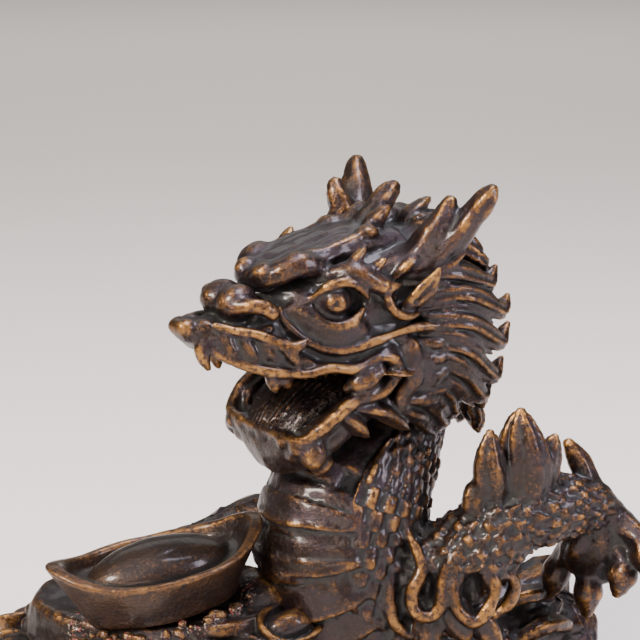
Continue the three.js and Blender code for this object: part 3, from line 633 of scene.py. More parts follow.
def cheeks(clay):
    """The bead at the corner of the mouth in its ring fold, the gill ribs, ribbons and jaw frills."""
    clay.twins([(25, 17, -4, 3.4, 3), (32, 14.6, -3.4, 4.6, 3.8), (39, 11, -1.4, 2.6, 2.4)], blend=2)
    clay.twins([(20, 15, -12, 6, 5), (8, 16.5, -14, 8, 7), (2, 16.5, -22, 8, 7), (4, 14, -29, 7, 5)],
               blend=2)
    for s in (1, -1):
        clay.blob((20.6, 21.4 * s, -15.4), (3.4, 3.4, 3.4), blend=0.8, dig=True)
    clay.twins([(28.4, 18.4, -20, 1.6, 1.5), (26.4, 19.8, -18.8, 3, 2.8), (23, 21.2, -17, 3.1, 2.9),
                (20.6, 21.8, -15.8, 2.4, 2.2)],
               blend=0.4)
    clay.twins([(29, 20.6, -14, 1.2), (25, 22, -11.6, 1.6, 1.5), (20, 22.8, -10.8, 1.9, 1.7),
                (16, 23, -13.4, 2, 1.8),
                (15.4, 22.8, -17.4, 2, 1.8), (18.4, 22.2, -21, 2, 1.8), (24, 21.2, -22.8, 1.8, 1.6),
                (31, 20.6, -24, 1.4, 1.3)],
               blend=0.5)
    clay.twins([(13, 22, -7.4, 1.6, 1.4), (10.6, 23.2, -10.4, 2.6, 1.9), (9.2, 23.4, -15, 2.9, 2),
                (9.6, 23, -20, 2.9, 2),
                (12.2, 22, -24.2, 2.8, 2), (11.6, 21, -28, 2.2, 1.8), (6.6, 20, -30, 0.9)],
               up=ACROSS, blend=0.5)
    for i in range(3):
        clay.twins([(7.4, 21.6, -9.4 - 4.6 * i, 1.1), (3, 23.6, -10.6 - 4.7 * i, 1.6),
                    (-1, 23.6, -10 - 4.7 * i, 1.5),
                    (-5, 22.4, -8.4 - 4.6 * i, 0.8)], blend=0.4)
    clay.twins([(13, 20.4, -25.4, 2, 1.6), (7, 21.6, -26.4, 2.4, 2), (0, 21, -27, 2.3, 1.9),
                (-6, 19.8, -26.2, 1.6, 1.4),
                (-9, 18.8, -24, 0.7)], blend=0.5)
    for path in (((32, 19.8, -26.6), (29, 20.8, -28.6), (26.4, 21.2, -31), (23.6, 21.2, -34)),
                 ((27, 20, -25.4), (20, 21.2, -27.4), (14, 20.4, -31), (7.6, 19, -35.6)),
                 ((16, 19, -25.6), (9, 19.4, -30), (3, 18, -33), (-3, 16, -37.6))):
        clay.twins([(*p, k, 0.8 * k) for p, k in zip(path, (2, 3, 2.8, 0.7))], blend=0.6,
                   relief=strands(4, 0.6), depth=0.6)


def jaw(clay):
    """The lower jaw: a ribbed trough with a rolled rim, an inner ridge, a lumpy lip and a blunt chin."""
    clay.sweep([(4, 0, -20, 14, 7), (16, 0, -24.5, 18.8, 7.8), (28, 0, -31, 19.8, 8.2),
                (37.6, 0, -37.2, 18.2, 7.6)], blend=2)
    clay.sweep([(2, 0, -11, 12, 6), (15, 0, -15.6, 15.4, 6), (28, 0, -22.4, 16, 5.6),
                (38, 0, -28.4, 14.6, 4.4),
                (46, 0, -33, 12, 3)], blend=1, dig=True, relief=strands(30, 0.9), depth=1.0)
    clay.sweep([(38.6, -17, -33.4, 3), (41, -13, -35.4, 3), (41.4, 0, -36, 3),
                (41, 13, -35.4, 3),
                (38.6, 17, -33.4, 3)], blend=1)
    clay.twins([(26, 18, -25, 2.4, 3), (36, 17.2, -30, 2.4, 3)], blend=1)
    rim = [(14, 20.2, -19.4, 1.2, 1.4), (22, 20.9, -21, 1.9, 1.8), (31, 20.8, -24.4, 2.1, 1.9),
           (38.6, 19.4, -29.6, 2.2, 2),
           (42.2, 16.4, -32.8, 1.9, 1.8), (43.6, 10, -33, 1.4), (43.8, 0, -33.6, 1.4)]
    clay.twins(rim, blend=0.6)
    clay.twins([(12, 15.6, -17.6, 1.1), (22, 17, -20.6, 1.4, 1.3), (31, 17, -25.6, 1.4, 1.3),
                (37.6, 15.6, -30, 1.3),
                (40.4, 11, -32.6, 1)], blend=0.5)
    clay.sweep([(4, 0, -16, 12, 4), (14, 0, -18.4, 13.6, 4.8), (24, 0, -22, 14.6, 5),
                (34, 0, -27.4, 13.6, 4.6),
                (41, 0, -32.4, 11, 3.2)], blend=1, relief=strands(40, 1.2), depth=1.3)
    for i in range(7):
        across = -15 + 5 * i
        clay.blob((42.6 + 0.6 * math.sin(3 * i), across, -34.4 - 0.5 * math.cos(2 * i)), (2.6, 3, 2.5),
                  blend=0.6)
    for i in range(6):
        across = -12.5 + 5 * i
        clay.blob((41.4, across, -38 - 0.6 * math.sin(2.3 * i)), (2.8, 3, 2.8), blend=0.9)
    clay.blob((39.6, 0, -41), (4, 11.4, 5.2), blend=1.6)
    for s in (1, -1):
        clay.blob((39.4, 17.6 * s, -36.4), (3.8, 3.8, 4.2), blend=0.7)
        clay.blob((36, 16.4 * s, -40), (3.4, 3.4, 3.4), blend=0.8)
    for i in range(4):
        clay.sweep(flame((36 - 5 * i, 0, -42 + 2.6 * i), (30 - 5 * i, 0, -46.4 + 2.6 * i), 2.6, 2), blend=1)


def limbs(clay):
    """The near foreleg with its lifted paw, tuft and shoulder flames, the far foreleg and the hind legs."""
    clay.sweep([(28, -8, 57, 13), (38, -12.5, 62.5, 12, 12.5), (46.5, -12, 70, 11),
                (54, -10, 76, 10, 9.6),
                (62, -8, 77, 9.4, 9), (70, -4.5, 77.4, 8.3, 8.1), (78, -1, 76.4, 6.4, 6.2)], blend=2,
               relief=scales(14, 3.1, 1.7), depth=1.8)
    clay.sweep([(77, -1, 77, 6), (81.5, 0, 71.5, 7.6, 6.4), (82, 1.5, 63, 11.6, 7),
                (80, 3.5, 56, 10.4, 5.2)], up=ACROSS,
               blend=1.5, relief=strands(9, 0.7), depth=0.8)
    fingers = (
        ((75, 5, 62), (71.6, 8.6, 55), (70.4, 10, 50), (68.8, 10.4, 43.6)),
        ((80, 4, 60), (78.6, 2.4, 53), (78.8, 1.6, 48), (78.6, 2, 41.6)),
        ((86, -1, 65), (87.6, -5, 60), (86.8, -7, 56.6), (85.4, -8, 52)),
        ((87, -2, 71), (91.4, -6.4, 67.6), (92.6, -9, 64), (93, -11, 59)),
    )
    for path in fingers:
        clay.sweep([(*p, r, r * 1.05) for p, r in zip(path, (4.2, 3.6, 4.2, 1.7))], up=ACROSS, blend=1,
                   relief=strands(5, 0.5), depth=0.6)
        clay.blob(path[2], (4.4, 4, 3.8), blend=0.8)
    clay.sweep([(79, 0, 78, 4.6, 4), (77, 1.4, 83, 3.6, 3.4), (74.6, 2.6, 88, 3.6, 3.2),
                (71.6, 3.4, 93, 1.8)], up=ACROSS,
               blend=1, relief=strands(5, 0.5), depth=0.6)
    tuft = (
        ((49.5, -13, 79), (46.8, -15, 102.8), 4.6, (-0.8, -1.5, 0)),
            ((53, -6, 80), (54.8, -5, 105), 4.2, (0, 0, 0)),
        ((57.5, -12, 78), (55.2, -13, 108.4), 5.6, (1.6, -1.5, 0)),
            ((61, -9, 79), (65.8, -10, 100), 4.6, (-1.4, -1, 0)),
        ((45, -12, 76), (43.4, -15, 88), 3.6, (-1, -1, 0)),
    )
    for root, tip, wide, bend in tuft:
        clay.sweep(flame(root, tip, 1.16 * wide, 4.2, bend=bend), up=ACROSS, blend=0.7,
                   relief=strands(5, 0.8), depth=0.9)
    loops = (
        ((24, -17.5, 74.5), (28.4, -22, 66), (25.6, -24.2, 60), (26, -25.4, 54.6), (30, -25.8, 52.4),
         (33.6, -25.4, 56),
         (34, -24.4, 63), (37, -22.8, 69), (42, -20.4, 73)),
        ((38.4, -22.6, 70.4), (36.6, -24.6, 62), (38, -25.7, 55), (42.6, -26, 51), (46.8, -25.2, 55),
         (48.4, -23.8, 61),
         (46.4, -21.4, 66), (50, -19.4, 70)),
        ((48.4, -20.6, 63), (52.6, -18.6, 62.4), (55, -16.6, 58), (52.6, -17, 52), (48, -18.4, 49)),
        ((20, -20.4, 66), (19.4, -22.8, 58), (20.6, -23.4, 50), (25, -22.6, 45)),
    )
    for centre, radii in (((30, -24.4, 59.6), (2.7, 4.6, 5)), ((42.4, -25, 59.4), (3.4, 5, 6)),
                          ((50.4, -18, 57), (2, 4, 3)),
                          ((23, -24, 55), (1.8, 4, 6))):
        clay.blob(centre, radii, blend=1, dig=True)
    for path in loops:
        last = len(path) - 1
        clay.sweep([(*p, 1.9 * min(1, 0.45 + min(i, last - i)), 1.8 * min(1, 0.45 + min(i, last - i)))
                    for i, p in enumerate(path)], up=(0, 1, 0.2), blend=0.6, step=1.4)
    for root, tip, wide in (((36, -22, 56), (41, -24.6, 45), 5.4), ((31, -22.4, 52), (29.6, -24, 41.6), 4.6),
                            ((44, -22.4, 51), (50, -22, 41.6), 4),
                            ((24, -20.4, 48), (20.6, -21.4, 37), 3.8)):
        clay.sweep(flame(root, tip, wide, 2.6), up=ACROSS, blend=0.7, relief=strands(5, 0.7), depth=0.8)
    clay.sweep([(4, 12, 58, 12, 11), (-10, 22, 60.5, 9, 8.4), (-20, 24.5, 60.4, 8, 7.8),
                (-30, 21, 57.6, 6.6, 6.2),
                (-39, 14, 58, 5.4, 4.6)], relief=scales(12, 3, 1.4), depth=1.5, blend=1.5)
    for k in (-1, 0, 1):
        clay.sweep([(-37, 15 + 2 * k, 57.6, 3.2, 3), (-42, 12 + 4 * k, 58.6, 3, 2.8),
                    (-46, 9.6 + 5 * k, 57.6, 2.9, 2.7),
                    (-50.4, 7.5 + 6 * k, 56, 1.1)], relief=strands(5, 0.4), depth=0.5)
    clay.sweep([(66, 30, 30, 6), (60, 26, 28, 17, 15), (50, 20, 25, 18, 15), (40, 14, 24, 8)],
               blend=2.5,
               relief=scales(22, 3.3, 1.5), depth=1.6)
    legs = (((54, 16, 27), (44, -6, 26), (56, -18, 17), (66, -26, 13.5)),
            ((62, 28, 24), (76, 30, 24), (79, 22, 17), (83, 12, 13.5)))
    for leg in legs:
        clay.sweep([(*p, a, b) for p, a, b in zip(leg, (12, 10, 5.8, 6.4), (12, 9, 5.6, 4.6))],
                   relief=scales(15, 3, 1.3), depth=1.4, blend=1.5)
        ankle, foot = np.array(leg[2]), np.array(leg[3])
        along = unit((foot - ankle) * (1, 1, 0))
        across = np.array([-along[1], along[0], 0])
        for k in (-1, 0, 1):
            root, tip = foot - 3 * along + 3.2 * k * across, foot + (9 - abs(k)) * along + 5.6 * k * across
            clay.sweep([(root[0], root[1], 14, 3.3, 3.6),
                        *[(*(root + (tip - root) * t)[:2], z, r, r) for t, z, r in
                        ((0.5, 13.6, 3), (0.78, 12.8, 3.1), (1, 11, 1.1))]], relief=strands(5, 0.4),
                       depth=0.5)
    curls = (((52, 6, 40), (60, 8, 44), (68, 14, 42), (70, 20, 36)),
             ((58, 2, 32), (66, 6, 35), (73, 12, 33), (76, 18, 28)),
             ((60, 20, 43), (68, 26, 43.4), (75, 30, 39), (78, 33, 33)))
    for path in curls:
        clay.sweep([(*p, r, 0.8 * r) for p, r in zip(path, (2, 3.2, 2.8, 1))], blend=0.8,
                   relief=strands(5, 0.7), depth=0.8)
    for k in range(3):
        clay.sweep(flame((66 - 8 * k, 36 + k, 30 + 3 * k), (79 - 6 * k, 40 + k, 40 + 3 * k), 3.6, 3.2),
                   blend=0.8,
                   relief=strands(5, 0.7), depth=0.8)
    for root, tip, bend in (((-62, 26, 22), (-64.4, 18, 43), (-3, 0, 0)),
                            ((-60, 30, 20), (-52, 33, 41), (2, 0, 0)),
                            ((-60, 28, 22), (-58, 25, 38), (0, 2, 0))):
        clay.sweep(flame(root, tip, 4.6, 3.4, bend=bend), blend=0.8, relief=strands(5, 0.8), depth=0.9)


def head_turn():
    yaw = math.radians(HEAD["yaw"])
    return np.array([[-math.cos(yaw), math.sin(yaw), 0], [-math.sin(yaw), -math.cos(yaw), 0], [0, 0, 1]])


def dragon_clay(pitch):
    clay = Clay((-71.5, -39, 8.2), (98, 49, 173), pitch)
    trunk(clay)
    clay.stand(HEAD["at"], head_turn())
    for stroke in (skull, eyes, mane, horns, cheeks, jaw, brows, snout):
        stroke(clay)
    clay.stand()
    limbs(clay)
    clay.weather(0.22, 2.6)
    floor_cut(clay, BASE["height"] + GAP)
    return clay


def floor_cut(clay, height):
    """Trims the clay flat at a height."""
    level = clay.low[2] + clay.pitch * np.arange(clay.shape[2])
    clay.field[:] = np.maximum(clay.field, (height - level)[None, None, :].astype(np.float32))


# ---- ingots and the heap

def boat(length, width, height, bow, wall_part=0.13, swell=0.42, hollow=True):
    """Distance to a boat-shaped ingot on its own foot: rising ends, a rounded rim, a sunken deck and a dome.
    The wall takes wall_part of the plan all the way down. The dome stands swell of the height above."""
    deck = height - bow - 3.4

    def distance(x, y, z):
        a, b = 0.5 * length, 0.5 * width
        angle = np.arctan2(y / b, x / a)
        tip = np.cos(angle) ** 4
        rho = np.sqrt((x / a) ** 2 + (y / (b * (1 - 0.12 * tip))) ** 2)
        local = np.sqrt(x * x + y * y) / np.maximum(rho, 0.05)
        rim = height - bow + bow * tip
        t = np.clip(z / rim, 0, 1.1)
        spread = 0.68 + 0.32 * t ** 1.15
        outer = soft_min_up(soft_min_up((rho - spread) * local * 0.93, z - rim, 1.6), -z, 1.2)
        if not hollow:
            return outer
        well = soft_min_up((rho - spread + wall_part) * local, deck + 0.9 * bow * tip * rho ** 2 - z, 1.4)
        body = soft_min_up(outer, -well, 1.0)
        radii = (0.33 * length, 0.31 * width, swell * height)
        u, v, w = x / radii[0], y / radii[1], (z - deck) / radii[2]
        near = np.sqrt(u * u + v * v + w * w)
        far = np.sqrt((u / radii[0]) ** 2 + (v / radii[1]) ** 2 + (w / radii[2]) ** 2)
        return soft_min(body, near * (near - 1) / np.maximum(far, 1e-5), 0.9)
    return distance


def soft_min_up(a, b, k):
    """The larger of two distances, with the edge between them rounded to a radius of about k."""
    return -soft_min(-a, -b, k)


def pose_axes(yaw, roll=0.0, tilt=0.0):
    """Axes as columns: turned by yaw about Z, then the ends rolled and the whole tilted."""
    a, b, c = math.radians(yaw), math.radians(-roll), math.radians(tilt)
    about_z = np.array([[math.cos(a), -math.sin(a), 0], [math.sin(a), math.cos(a), 0], [0, 0, 1]])
    about_y = np.array([[math.cos(b), 0, math.sin(b)], [0, 1, 0], [-math.sin(b), 0, math.cos(b)]])
    about_x = np.array([[1, 0, 0], [0, math.cos(c), -math.sin(c)], [0, math.sin(c), math.cos(c)]])
    return about_z @ about_y @ about_x


def ingot_clay(pitch):
    clay = Clay((-77, -49, 53), (-12, -2, 81), pitch)
    clay.stand((INGOT["x"], INGOT["y"], INGOT["foot"]), pose_axes(INGOT["yaw"], INGOT["roll"]))
    size = [INGOT[k] for k in ("length", "width", "height", "bow")]
    clay.carve((-77, -49, 53), (-12, -2, 81), boat(*size), blend=0)
    clay.weather(0.16, 4.2)
    return clay


def put_boat(clay, place, yaw, roll=0.0, tilt=0.0, size=(25, 15, 10, 1.8, 0.2, 0.55)):
    clay.stand(place, pose_axes(yaw, roll, tilt))
    reach = 0.62 * size[0]
    low, high = np.array(place) - reach, np.array(place) + reach
    clay.carve(low, high, boat(*size, hollow=False), blend=0.8, dig=True)
    clay.carve(low, high, boat(*size), blend=0.5)
    clay.stand()


def mound_clay(pitch):
    clay = Clay((-99.5, -51.5, -1.5), (99.5, 51.5, 64), pitch)
    length, width, height, foot = (BASE[k] for k in ("length", "width", "height", "foot"))
    power = 2 / BASE["corner"]

    def base(x, y, z):
        a, b = length / 2, width / 2
        rho = np.maximum((np.abs(x / a) ** power + np.abs(y / b) ** power) ** (1 / power), 1e-3)
        slope = np.hypot((np.abs(x / a) ** (power - 1)) / a,
                         (np.abs(y / b) ** (power - 1)) / b) * rho ** (1 - power)
        out = (rho - 1) / np.maximum(slope, 1e-3)
        waist = np.clip(1 - np.abs(z - 0.5 * height) / (0.5 * height - foot + 1.2), 0, 1)
        side = out + 0.4 + 3.4 * np.sqrt(waist)
        return soft_min_up(soft_min_up(side, z - height, 1), -z, 0.6)
    clay.carve(clay.low, (99.5, 51.5, 12), base, blend=0)
    x, y, top, reach_x, reach_y = (HEAP[k] for k in ("x", "y", "top", "reach_x", "reach_y"))
    mass = [(x, y, z, reach_x * k, reach_y * k) for z,
            k in ((6, 0.93), (30, 0.92), (41, 0.88), (49, 0.80), (top - 2, 0.66))]
    heap = Clay(clay.low, (99.5, 51.5, 64), pitch)
    heap.sweep(mass, up=ACROSS, blend=0, step=4)
    heap.carve(heap.low, (99.5, 51.5, 64), lambda a, b, c: top - 0.4 - c + 0 * (a + b), blend=1.5, dig=True)
    heap.blob((-15, -13, 49), (13, 13, 12.5), blend=1.5)
    clay.field = soft_min(clay.field, heap.field, 1.5)
    treasure(clay)
    clay.weather(0.2, 2.4)
    return clay


def treasure(clay):
    """Small ingots leaning all round the heap, with lumps and beads between them."""
    def around(degrees, z, more=0.0):
        inset = 4.5 + 0.4 * max(0, z - 38) - more
        a = math.radians(degrees)
        return np.array([HEAP["x"] + (HEAP["reach_x"] - inset) * math.cos(a),
                         HEAP["y"] + (HEAP["reach_y"] - inset) * math.sin(a), z])

    def tangent(degrees):
        a = math.radians(degrees)
        return math.degrees(math.atan2(HEAP["reach_y"] * math.cos(a), -HEAP["reach_x"] * math.sin(a)))

    for i in range(52):
        z = 11 + 39 * ((i * 0.618) % 1)
        lump = 5.2 + 1.8 * math.sin(2.7 * i)
        clay.blob(around(137.5 * i, z, 1.6), (lump, lump, 0.85 * lump), blend=1.2)
    for i in range(6):
        for degrees, z in ((70 + 44 * i, 39), (48 + 44 * i, 22)):
            place = around(degrees, z) - (0, 0, 3.5)
            put_boat(clay, place, tangent(degrees) + 12 * math.sin(z + 5 * degrees), 6, 34)
    for place, yaw in (((-24, -36, 41), 12), ((-10, -24.5, 45.5), 40), ((-1.5, -12, 46), 62)):
        put_boat(clay, place, yaw, 0, 28)
    for i in range(8):
        clay.blob(around(26 + 44 * i, 31 - 17 * (i % 2)), (4.6, 4.4, 4.2), blend=0.5)
    for i in range(22):
        degrees, z = 12 + 16.4 * i, (14, 46, 30)[i % 3]
        place = around(degrees, z, -1.0 if z > 40 else 0.4)
        if i % 2:
            clay.blob(place, (3.6, 3.4, 3), blend=0.6)
        for k in range(3):
            bead = around(degrees + 5 + 2.6 * k, z + 4 * math.sin(4 * i + k), 0.4)
            clay.blob(bead, (2.1, 2.1, 2.1), blend=0.4)


def crumbs(clay, rng):
    """Grains of casting sand and wax left in the seam round the foot of the large ingot."""
    turn = pose_axes(INGOT["yaw"], INGOT["roll"])
    for _ in range(150):
        a, k = rng.uniform(0, 2 * math.pi), rng.uniform(0.68, 0.86)
        spot = np.array([0.5 * INGOT["length"] * k * math.cos(a), 0.5 * INGOT["width"] * k * math.sin(a),
                         rng.uniform(-3.5, 0)])
        place = np.array([INGOT["x"], INGOT["y"], INGOT["foot"]]) + turn @ spot
        r = rng.uniform(0.7, 1.5)
        clay.blob(place, (r, r, 0.8 * r), blend=0.5)


# ---- materials

def linear(code):
    """A colour's linear parts from its sRGB code."""
    parts = [int(code[i:i + 2], 16) / 255 for i in (1, 3, 5)]
    return (*[c / 12.92 if c <= 0.04045 else ((c + 0.055) / 1.055) ** 2.4 for c in parts], 1.0)


def new_material(name):
    made = bpy.data.materials.new(name)
    made.use_nodes = True
    made.node_tree.nodes.clear()
    return made


def add_node(tree, kind, settings, *inputs, out=0, **named):
    """Adds a node with its settings and inputs, and gives back one of its outputs. An input is a value or
    another node's output: in socket order, by name with underscores for spaces, or by number after an i."""
    node = tree.nodes.new("ShaderNode" + kind)
    for key, value in settings.items():
        setattr(node, key, value)
    sockets = list(enumerate(inputs))
    sockets += [(int(key[1:]) if key[1:].isdigit() else key.replace("_", " "), named[key]) for key in named]
    for key, value in sockets:
        if isinstance(value, bpy.types.NodeSocket):
            tree.links.new(value, node.inputs[key])
        else:
            node.inputs[key].default_value = value
    return node.outputs[out] if node.outputs else node


PLUS, LESS, TIMES, MOST = ({"operation": name, "use_clamp": True}
                           for name in ("ADD", "SUBTRACT", "MULTIPLY", "MAXIMUM"))
SMOOTH = {"interpolation_type": "SMOOTHSTEP"}
COLOURS = {"data_type": "RGBA"}
RED_OCHRE = "#76291f"
CASTING_DUST = "#8f8078"

# What each patina is made of: its ground, cool sheen, rubbed metal, brightest rub with a painted highlight, and
# recess with painted shade.
FINISHES = {
    "dark_umber_bronze_patina": {
        "ground": "#1d130e", "cool": "#261d22", "rubbed": "#674725", "bright": "#a57c46",
                                 "recess": "#050403",
        "wear": 0.22, "gloss": 0.31},
    "treasure_umber_patina": {
        "ground": "#19110d", "cool": "#221b1e", "rubbed": "#5a3e22", "bright": "#8d6a3e",
                              "recess": "#050403",
        "wear": 0.26, "gloss": 0.44},
    "satin_ingot_patina": {
        "ground": "#33241a", "cool": "#1e1716", "rubbed": "#6b4b2a", "bright": "#98734a",
                           "recess": "#0c0704",
        "wear": 0.10, "gloss": 0.36},
}


def patina(name):
    """Waxed chemical patina over cast bronze: dark and purplish in the broad planes, rubbed to gold on the
    edges with a painted highlight on the most worn, nearly black and dull in the recesses from wax, dirt and
    painted shade, with red ochre and pale casting dust in the seams."""
    look = FINISHES[name]
    made = new_material(name)
    add = partial(add_node, made.node_tree)
    place = add("TexCoord", {}, out="Object")
    # Noise by the size of its features in mm: clouds, mottle, grain, specks, cast lumps, skin and pits.
    broad, mottle, grain, speck, lumps, skin, pits = [
        add("TexNoise", {}, Vector=place, Scale=1000.0 / size, Detail=detail, Roughness=0.6, out="Fac")
        for size, detail in ((26, 2), (5.5, 4), (0.9, 3), (1.7, 2), (1.6, 3), (0.35, 2), (1.2, 1))]
    edge, hollow, ridge, seam = [add("Attribute", {"attribute_name": mask}, out="Fac")
                                 for mask in ("edge", "hollow", "ridge", "seam")]
    # The ground drifts between warm umber and a cool purplish brown, in clouds a few millimetres across.
    clouds = add("Math", PLUS, add("Math", TIMES, broad, 0.5), add("Math", TIMES, mottle, 0.5))
    colour = add("Mix", COLOURS, i0=add("MapRange", SMOOTH, clouds, 0.40, 0.60), i6=linear(look["ground"]),
                 i7=linear(look["cool"]), out=2)
    # Handling wears the ridges through to the metal, unevenly, and leaves dark specks on them.
    worn = add("Math", PLUS, add("Math", TIMES, edge, 0.62), add("Math", TIMES, ridge, 0.26))
    patch = add("Math", PLUS, add("Math", TIMES, mottle, 0.7), add("Math", TIMES, broad, 0.5))
    handled = add("Math", TIMES, worn, add("Math", PLUS, patch, look["wear"]))
    uneven = add("Math", LESS, handled, add("Math", TIMES, add("MapRange", SMOOTH, speck, 0.48, 0.66), 0.32))
    rub = add("MapRange", SMOOTH, uneven, 0.24, 0.92)
    # The brightest rub on the most worn edges is rubbed metal with a painted highlight on it.
    shine = add("MapRange", SMOOTH, uneven, 0.54, 1.0)
    fleck = add("Math", TIMES, add("MapRange", SMOOTH, grain, 0.52, 0.66), add("Math", PLUS, worn, 0.05))
    # Dark wax and dirt stay in the creases, and painted shade darkens them to nearly black.
    crumbly = add("Math", TIMES, add("Math", LESS, grain, 0.5), 0.4)
    dirt_and_shade = add("MapRange", SMOOTH, add("Math", PLUS, hollow, crumbly), 0.10, 0.62)
    # Red ochre specks and pale dust, only in the seams.
    red = add("Math", TIMES, seam, add("MapRange", SMOOTH, speck, 0.60, 0.66))
    dust = add("Math", TIMES, seam, add("MapRange", SMOOTH, grain, 0.56, 0.66))
    for amount, code in ((rub, look["rubbed"]), (fleck, look["rubbed"]), (shine, look["bright"]),
                         (dirt_and_shade, look["recess"]), (red, RED_OCHRE), (dust, CASTING_DUST)):
        colour = add("Mix", COLOURS, i0=amount, i6=colour, i7=linear(code), out=2)
    # Bare metal where it is rubbed; wax, dirt and dust are not metal, and dull it.
    bare = add("Math", PLUS, 0.72, add("Math", TIMES, rub, 0.28))
    loose = add("Math", MOST, red, dust)
    metal = add("Math", LESS, bare, add("Math", MOST, loose, add("Math", TIMES, dirt_and_shade, 0.5)))
    waxy = add("Math", TIMES, add("Math", LESS, mottle, 0.4), 0.35)
    dull = add("Math", PLUS, add("Math", TIMES, dirt_and_shade, 0.28), waxy)
    roughness = add("Math", LESS, add("Math", PLUS, dull, look["gloss"]), add("Math", TIMES, rub, 0.05))
    # Cast skin: soft lumps over one millimetre, grain under half a millimetre, and a few pits.
    pits = add("MapRange", SMOOTH, pits, 0.30, 0.38)
    normal = add("Bump", {}, Strength=0.45, Distance=0.0008, Height=lumps)
    normal = add("Bump", {}, Strength=0.45, Distance=0.0003, Height=skin, Normal=normal)
    normal = add("Bump", {}, Strength=0.30, Distance=0.0002, Height=pits, Normal=normal)
    shader = add("BsdfPrincipled", {}, Base_Color=colour, Metallic=metal, Roughness=roughness, Normal=normal,
                 Coat_Weight=0.28, Coat_Roughness=0.15)
    add("OutputMaterial", {}, Surface=shader)
    return made


def painted_board(name, code, roughness):
    """Matt painted board for the floor and backdrop, with a faint mottle."""
    made = new_material(name)
    add = partial(add_node, made.node_tree)
    place = add("TexCoord", {}, out="Object")
    mottle = add("TexNoise", {}, Vector=place, Scale=1000.0 / 60, Detail=3, Roughness=0.6, out="Fac")
    tint = add("Mix", COLOURS, i0=add("Math", TIMES, mottle, 0.12), i6=linear(code),
               i7=linear("#d8d2ca"), out=2)
    add("OutputMaterial", {}, Surface=add("BsdfPrincipled", {}, Base_Color=tint, Roughness=roughness))
    return made


# ---- pieces

def place_piece(piece, node, finish):
    """Gives a piece its patina, hangs it on the root body and hides the solid that it shows."""
    piece.data.materials.append(patina(finish))
    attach(piece, "root")
    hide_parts(node)


def ingot_seam(points):
    """Strength of the seam round the large ingot's foot."""
    local = (points - (INGOT["x"], INGOT["y"], INGOT["foot"])) @ pose_axes(INGOT["yaw"], INGOT["roll"])
    rho = np.hypot(local[:, 0] / (0.5 * INGOT["length"]), local[:, 1] / (0.5 * INGOT["width"]))
    return np.clip(1 - np.abs(rho - 0.79) / 0.15, 0, 1) * np.clip(1 - np.abs(local[:, 2] + 1) / 5, 0,
        1) * 1.6


def detail(node):
    """The grid pitch and the triangle limit of a piece."""
    return DETAIL[node][1]


def make_dragon(limit=DETAIL["dragon"][1][1]):
    pitch, most = detail("dragon")
    piece = build("dragon_cast", dragon_clay(pitch), min(limit, most),
                  keep=lambda p: 0.45 + 0.5 * (p[:, 1] > 16) - 0.35 * (p[:, 2] > 92) + 0.3 * (p[:, 2] < 34))
    # A few red specks where the mane meets the cheek.
    points = (points_of(piece.data) - HEAD["at"]) @ head_turn()
    away = np.linalg.norm(points * (1, 0.4, 1) - (-2, 9, -3), axis=1)
    write_mask(piece.data, "seam", 1 - away / 3.6)
    place_piece(piece, "dragon", "dark_umber_bronze_patina")


def make_mound():
    pitch, most = detail("treasure_mound")
    clay = mound_clay(pitch)
    crumbs(clay, np.random.default_rng(7))
    seat_cut(clay)
    floor_cut(clay, 0.0)
    piece = build("treasure_mound_cast", clay, most)
    write_mask(piece.data, "seam", ingot_seam(points_of(piece.data)))
    place_piece(piece, "treasure_mound", "treasure_umber_patina")


def seat_cut(clay):
    """Cuts room in the heap for the neck, coil and tail, and makes the top of the base good again."""
    room = 2.2
    for rows in (BODY[1:9], BODY[9:14]):
        clay.sweep([(x, y, z, a + room, b + room) for x, y, z, a, b in rows], up=LEAN, step=4, blend=0,
                   dig=True)
    clay.carve(clay.low, (99.5, 51.5, 64), base_core, blend=0)


def base_core(x, y, z):
    """The plain top of the base, put back where room was cut."""
    power = 2 / BASE["corner"]
    a, b = BASE["length"] / 2 - 1.6, BASE["width"] / 2 - 1.6
    rho = (np.abs(x / a) ** power + np.abs(y / b) ** power) ** (1 / power)
    return np.maximum(np.maximum((rho - 1) * b, z - BASE["height"]), 1.2 - z)


def make_ingot():
    pitch, most = detail("large_ingot")
    piece = build("large_ingot_cast", ingot_clay(pitch), most, fine=0.9, broad=2.4)
    write_mask(piece.data, "seam", 0.5 * ingot_seam(points_of(piece.data)))
    place_piece(piece, "large_ingot", "satin_ingot_patina")


# ---- the stage

# Soft boxes: name, place, size, power in watts, colour and what each is aimed at.
SOFT_BOXES = (
    ("key", (-0.5, -0.5, 0.7), (0.26, 0.22), 19, "#fff0e2", (0, 0, 0.1)),
    ("top", (0.2, 0.05, 0.8), (0.4, 0.3), 9, "#f0eaff", (0, 0, 0.1)),
    ("side", (0.7, -0.3, 0.4), (0.16, 0.4), 5, "#f4ecff", (0, 0, 0.1)),
    ("front", (0.1, -0.95, 0.3), (0.5, 0.35), 3, "#ffe9dc", (0, 0, 0.1)),
    ("backdrop", (0, 2.0, 1.4), (2.4, 1.2), 15, "#ffffff", (0, 2.0, 0)),
)
CAMERA = {"at": (0, -0.4636, 0.2552), "up_from_nadir": 75, "sensor": 36, "lens": 96.4}


def soft_light(name, place, size, power, colour, target):
    """A soft box aimed at a target."""
    lamp = bpy.data.lights.new(name, "AREA")
    lamp.shape = "RECTANGLE"
    lamp.size, lamp.size_y = size
    lamp.energy = power
    lamp.color = linear(colour)[:3]
    item = bpy.data.objects.new(name, lamp)
    item.location = place
    item.rotation_euler = (Vector(target) - Vector(place)).to_track_quat("-Z", "Y").to_euler()
    bpy.context.scene.collection.objects.link(item)


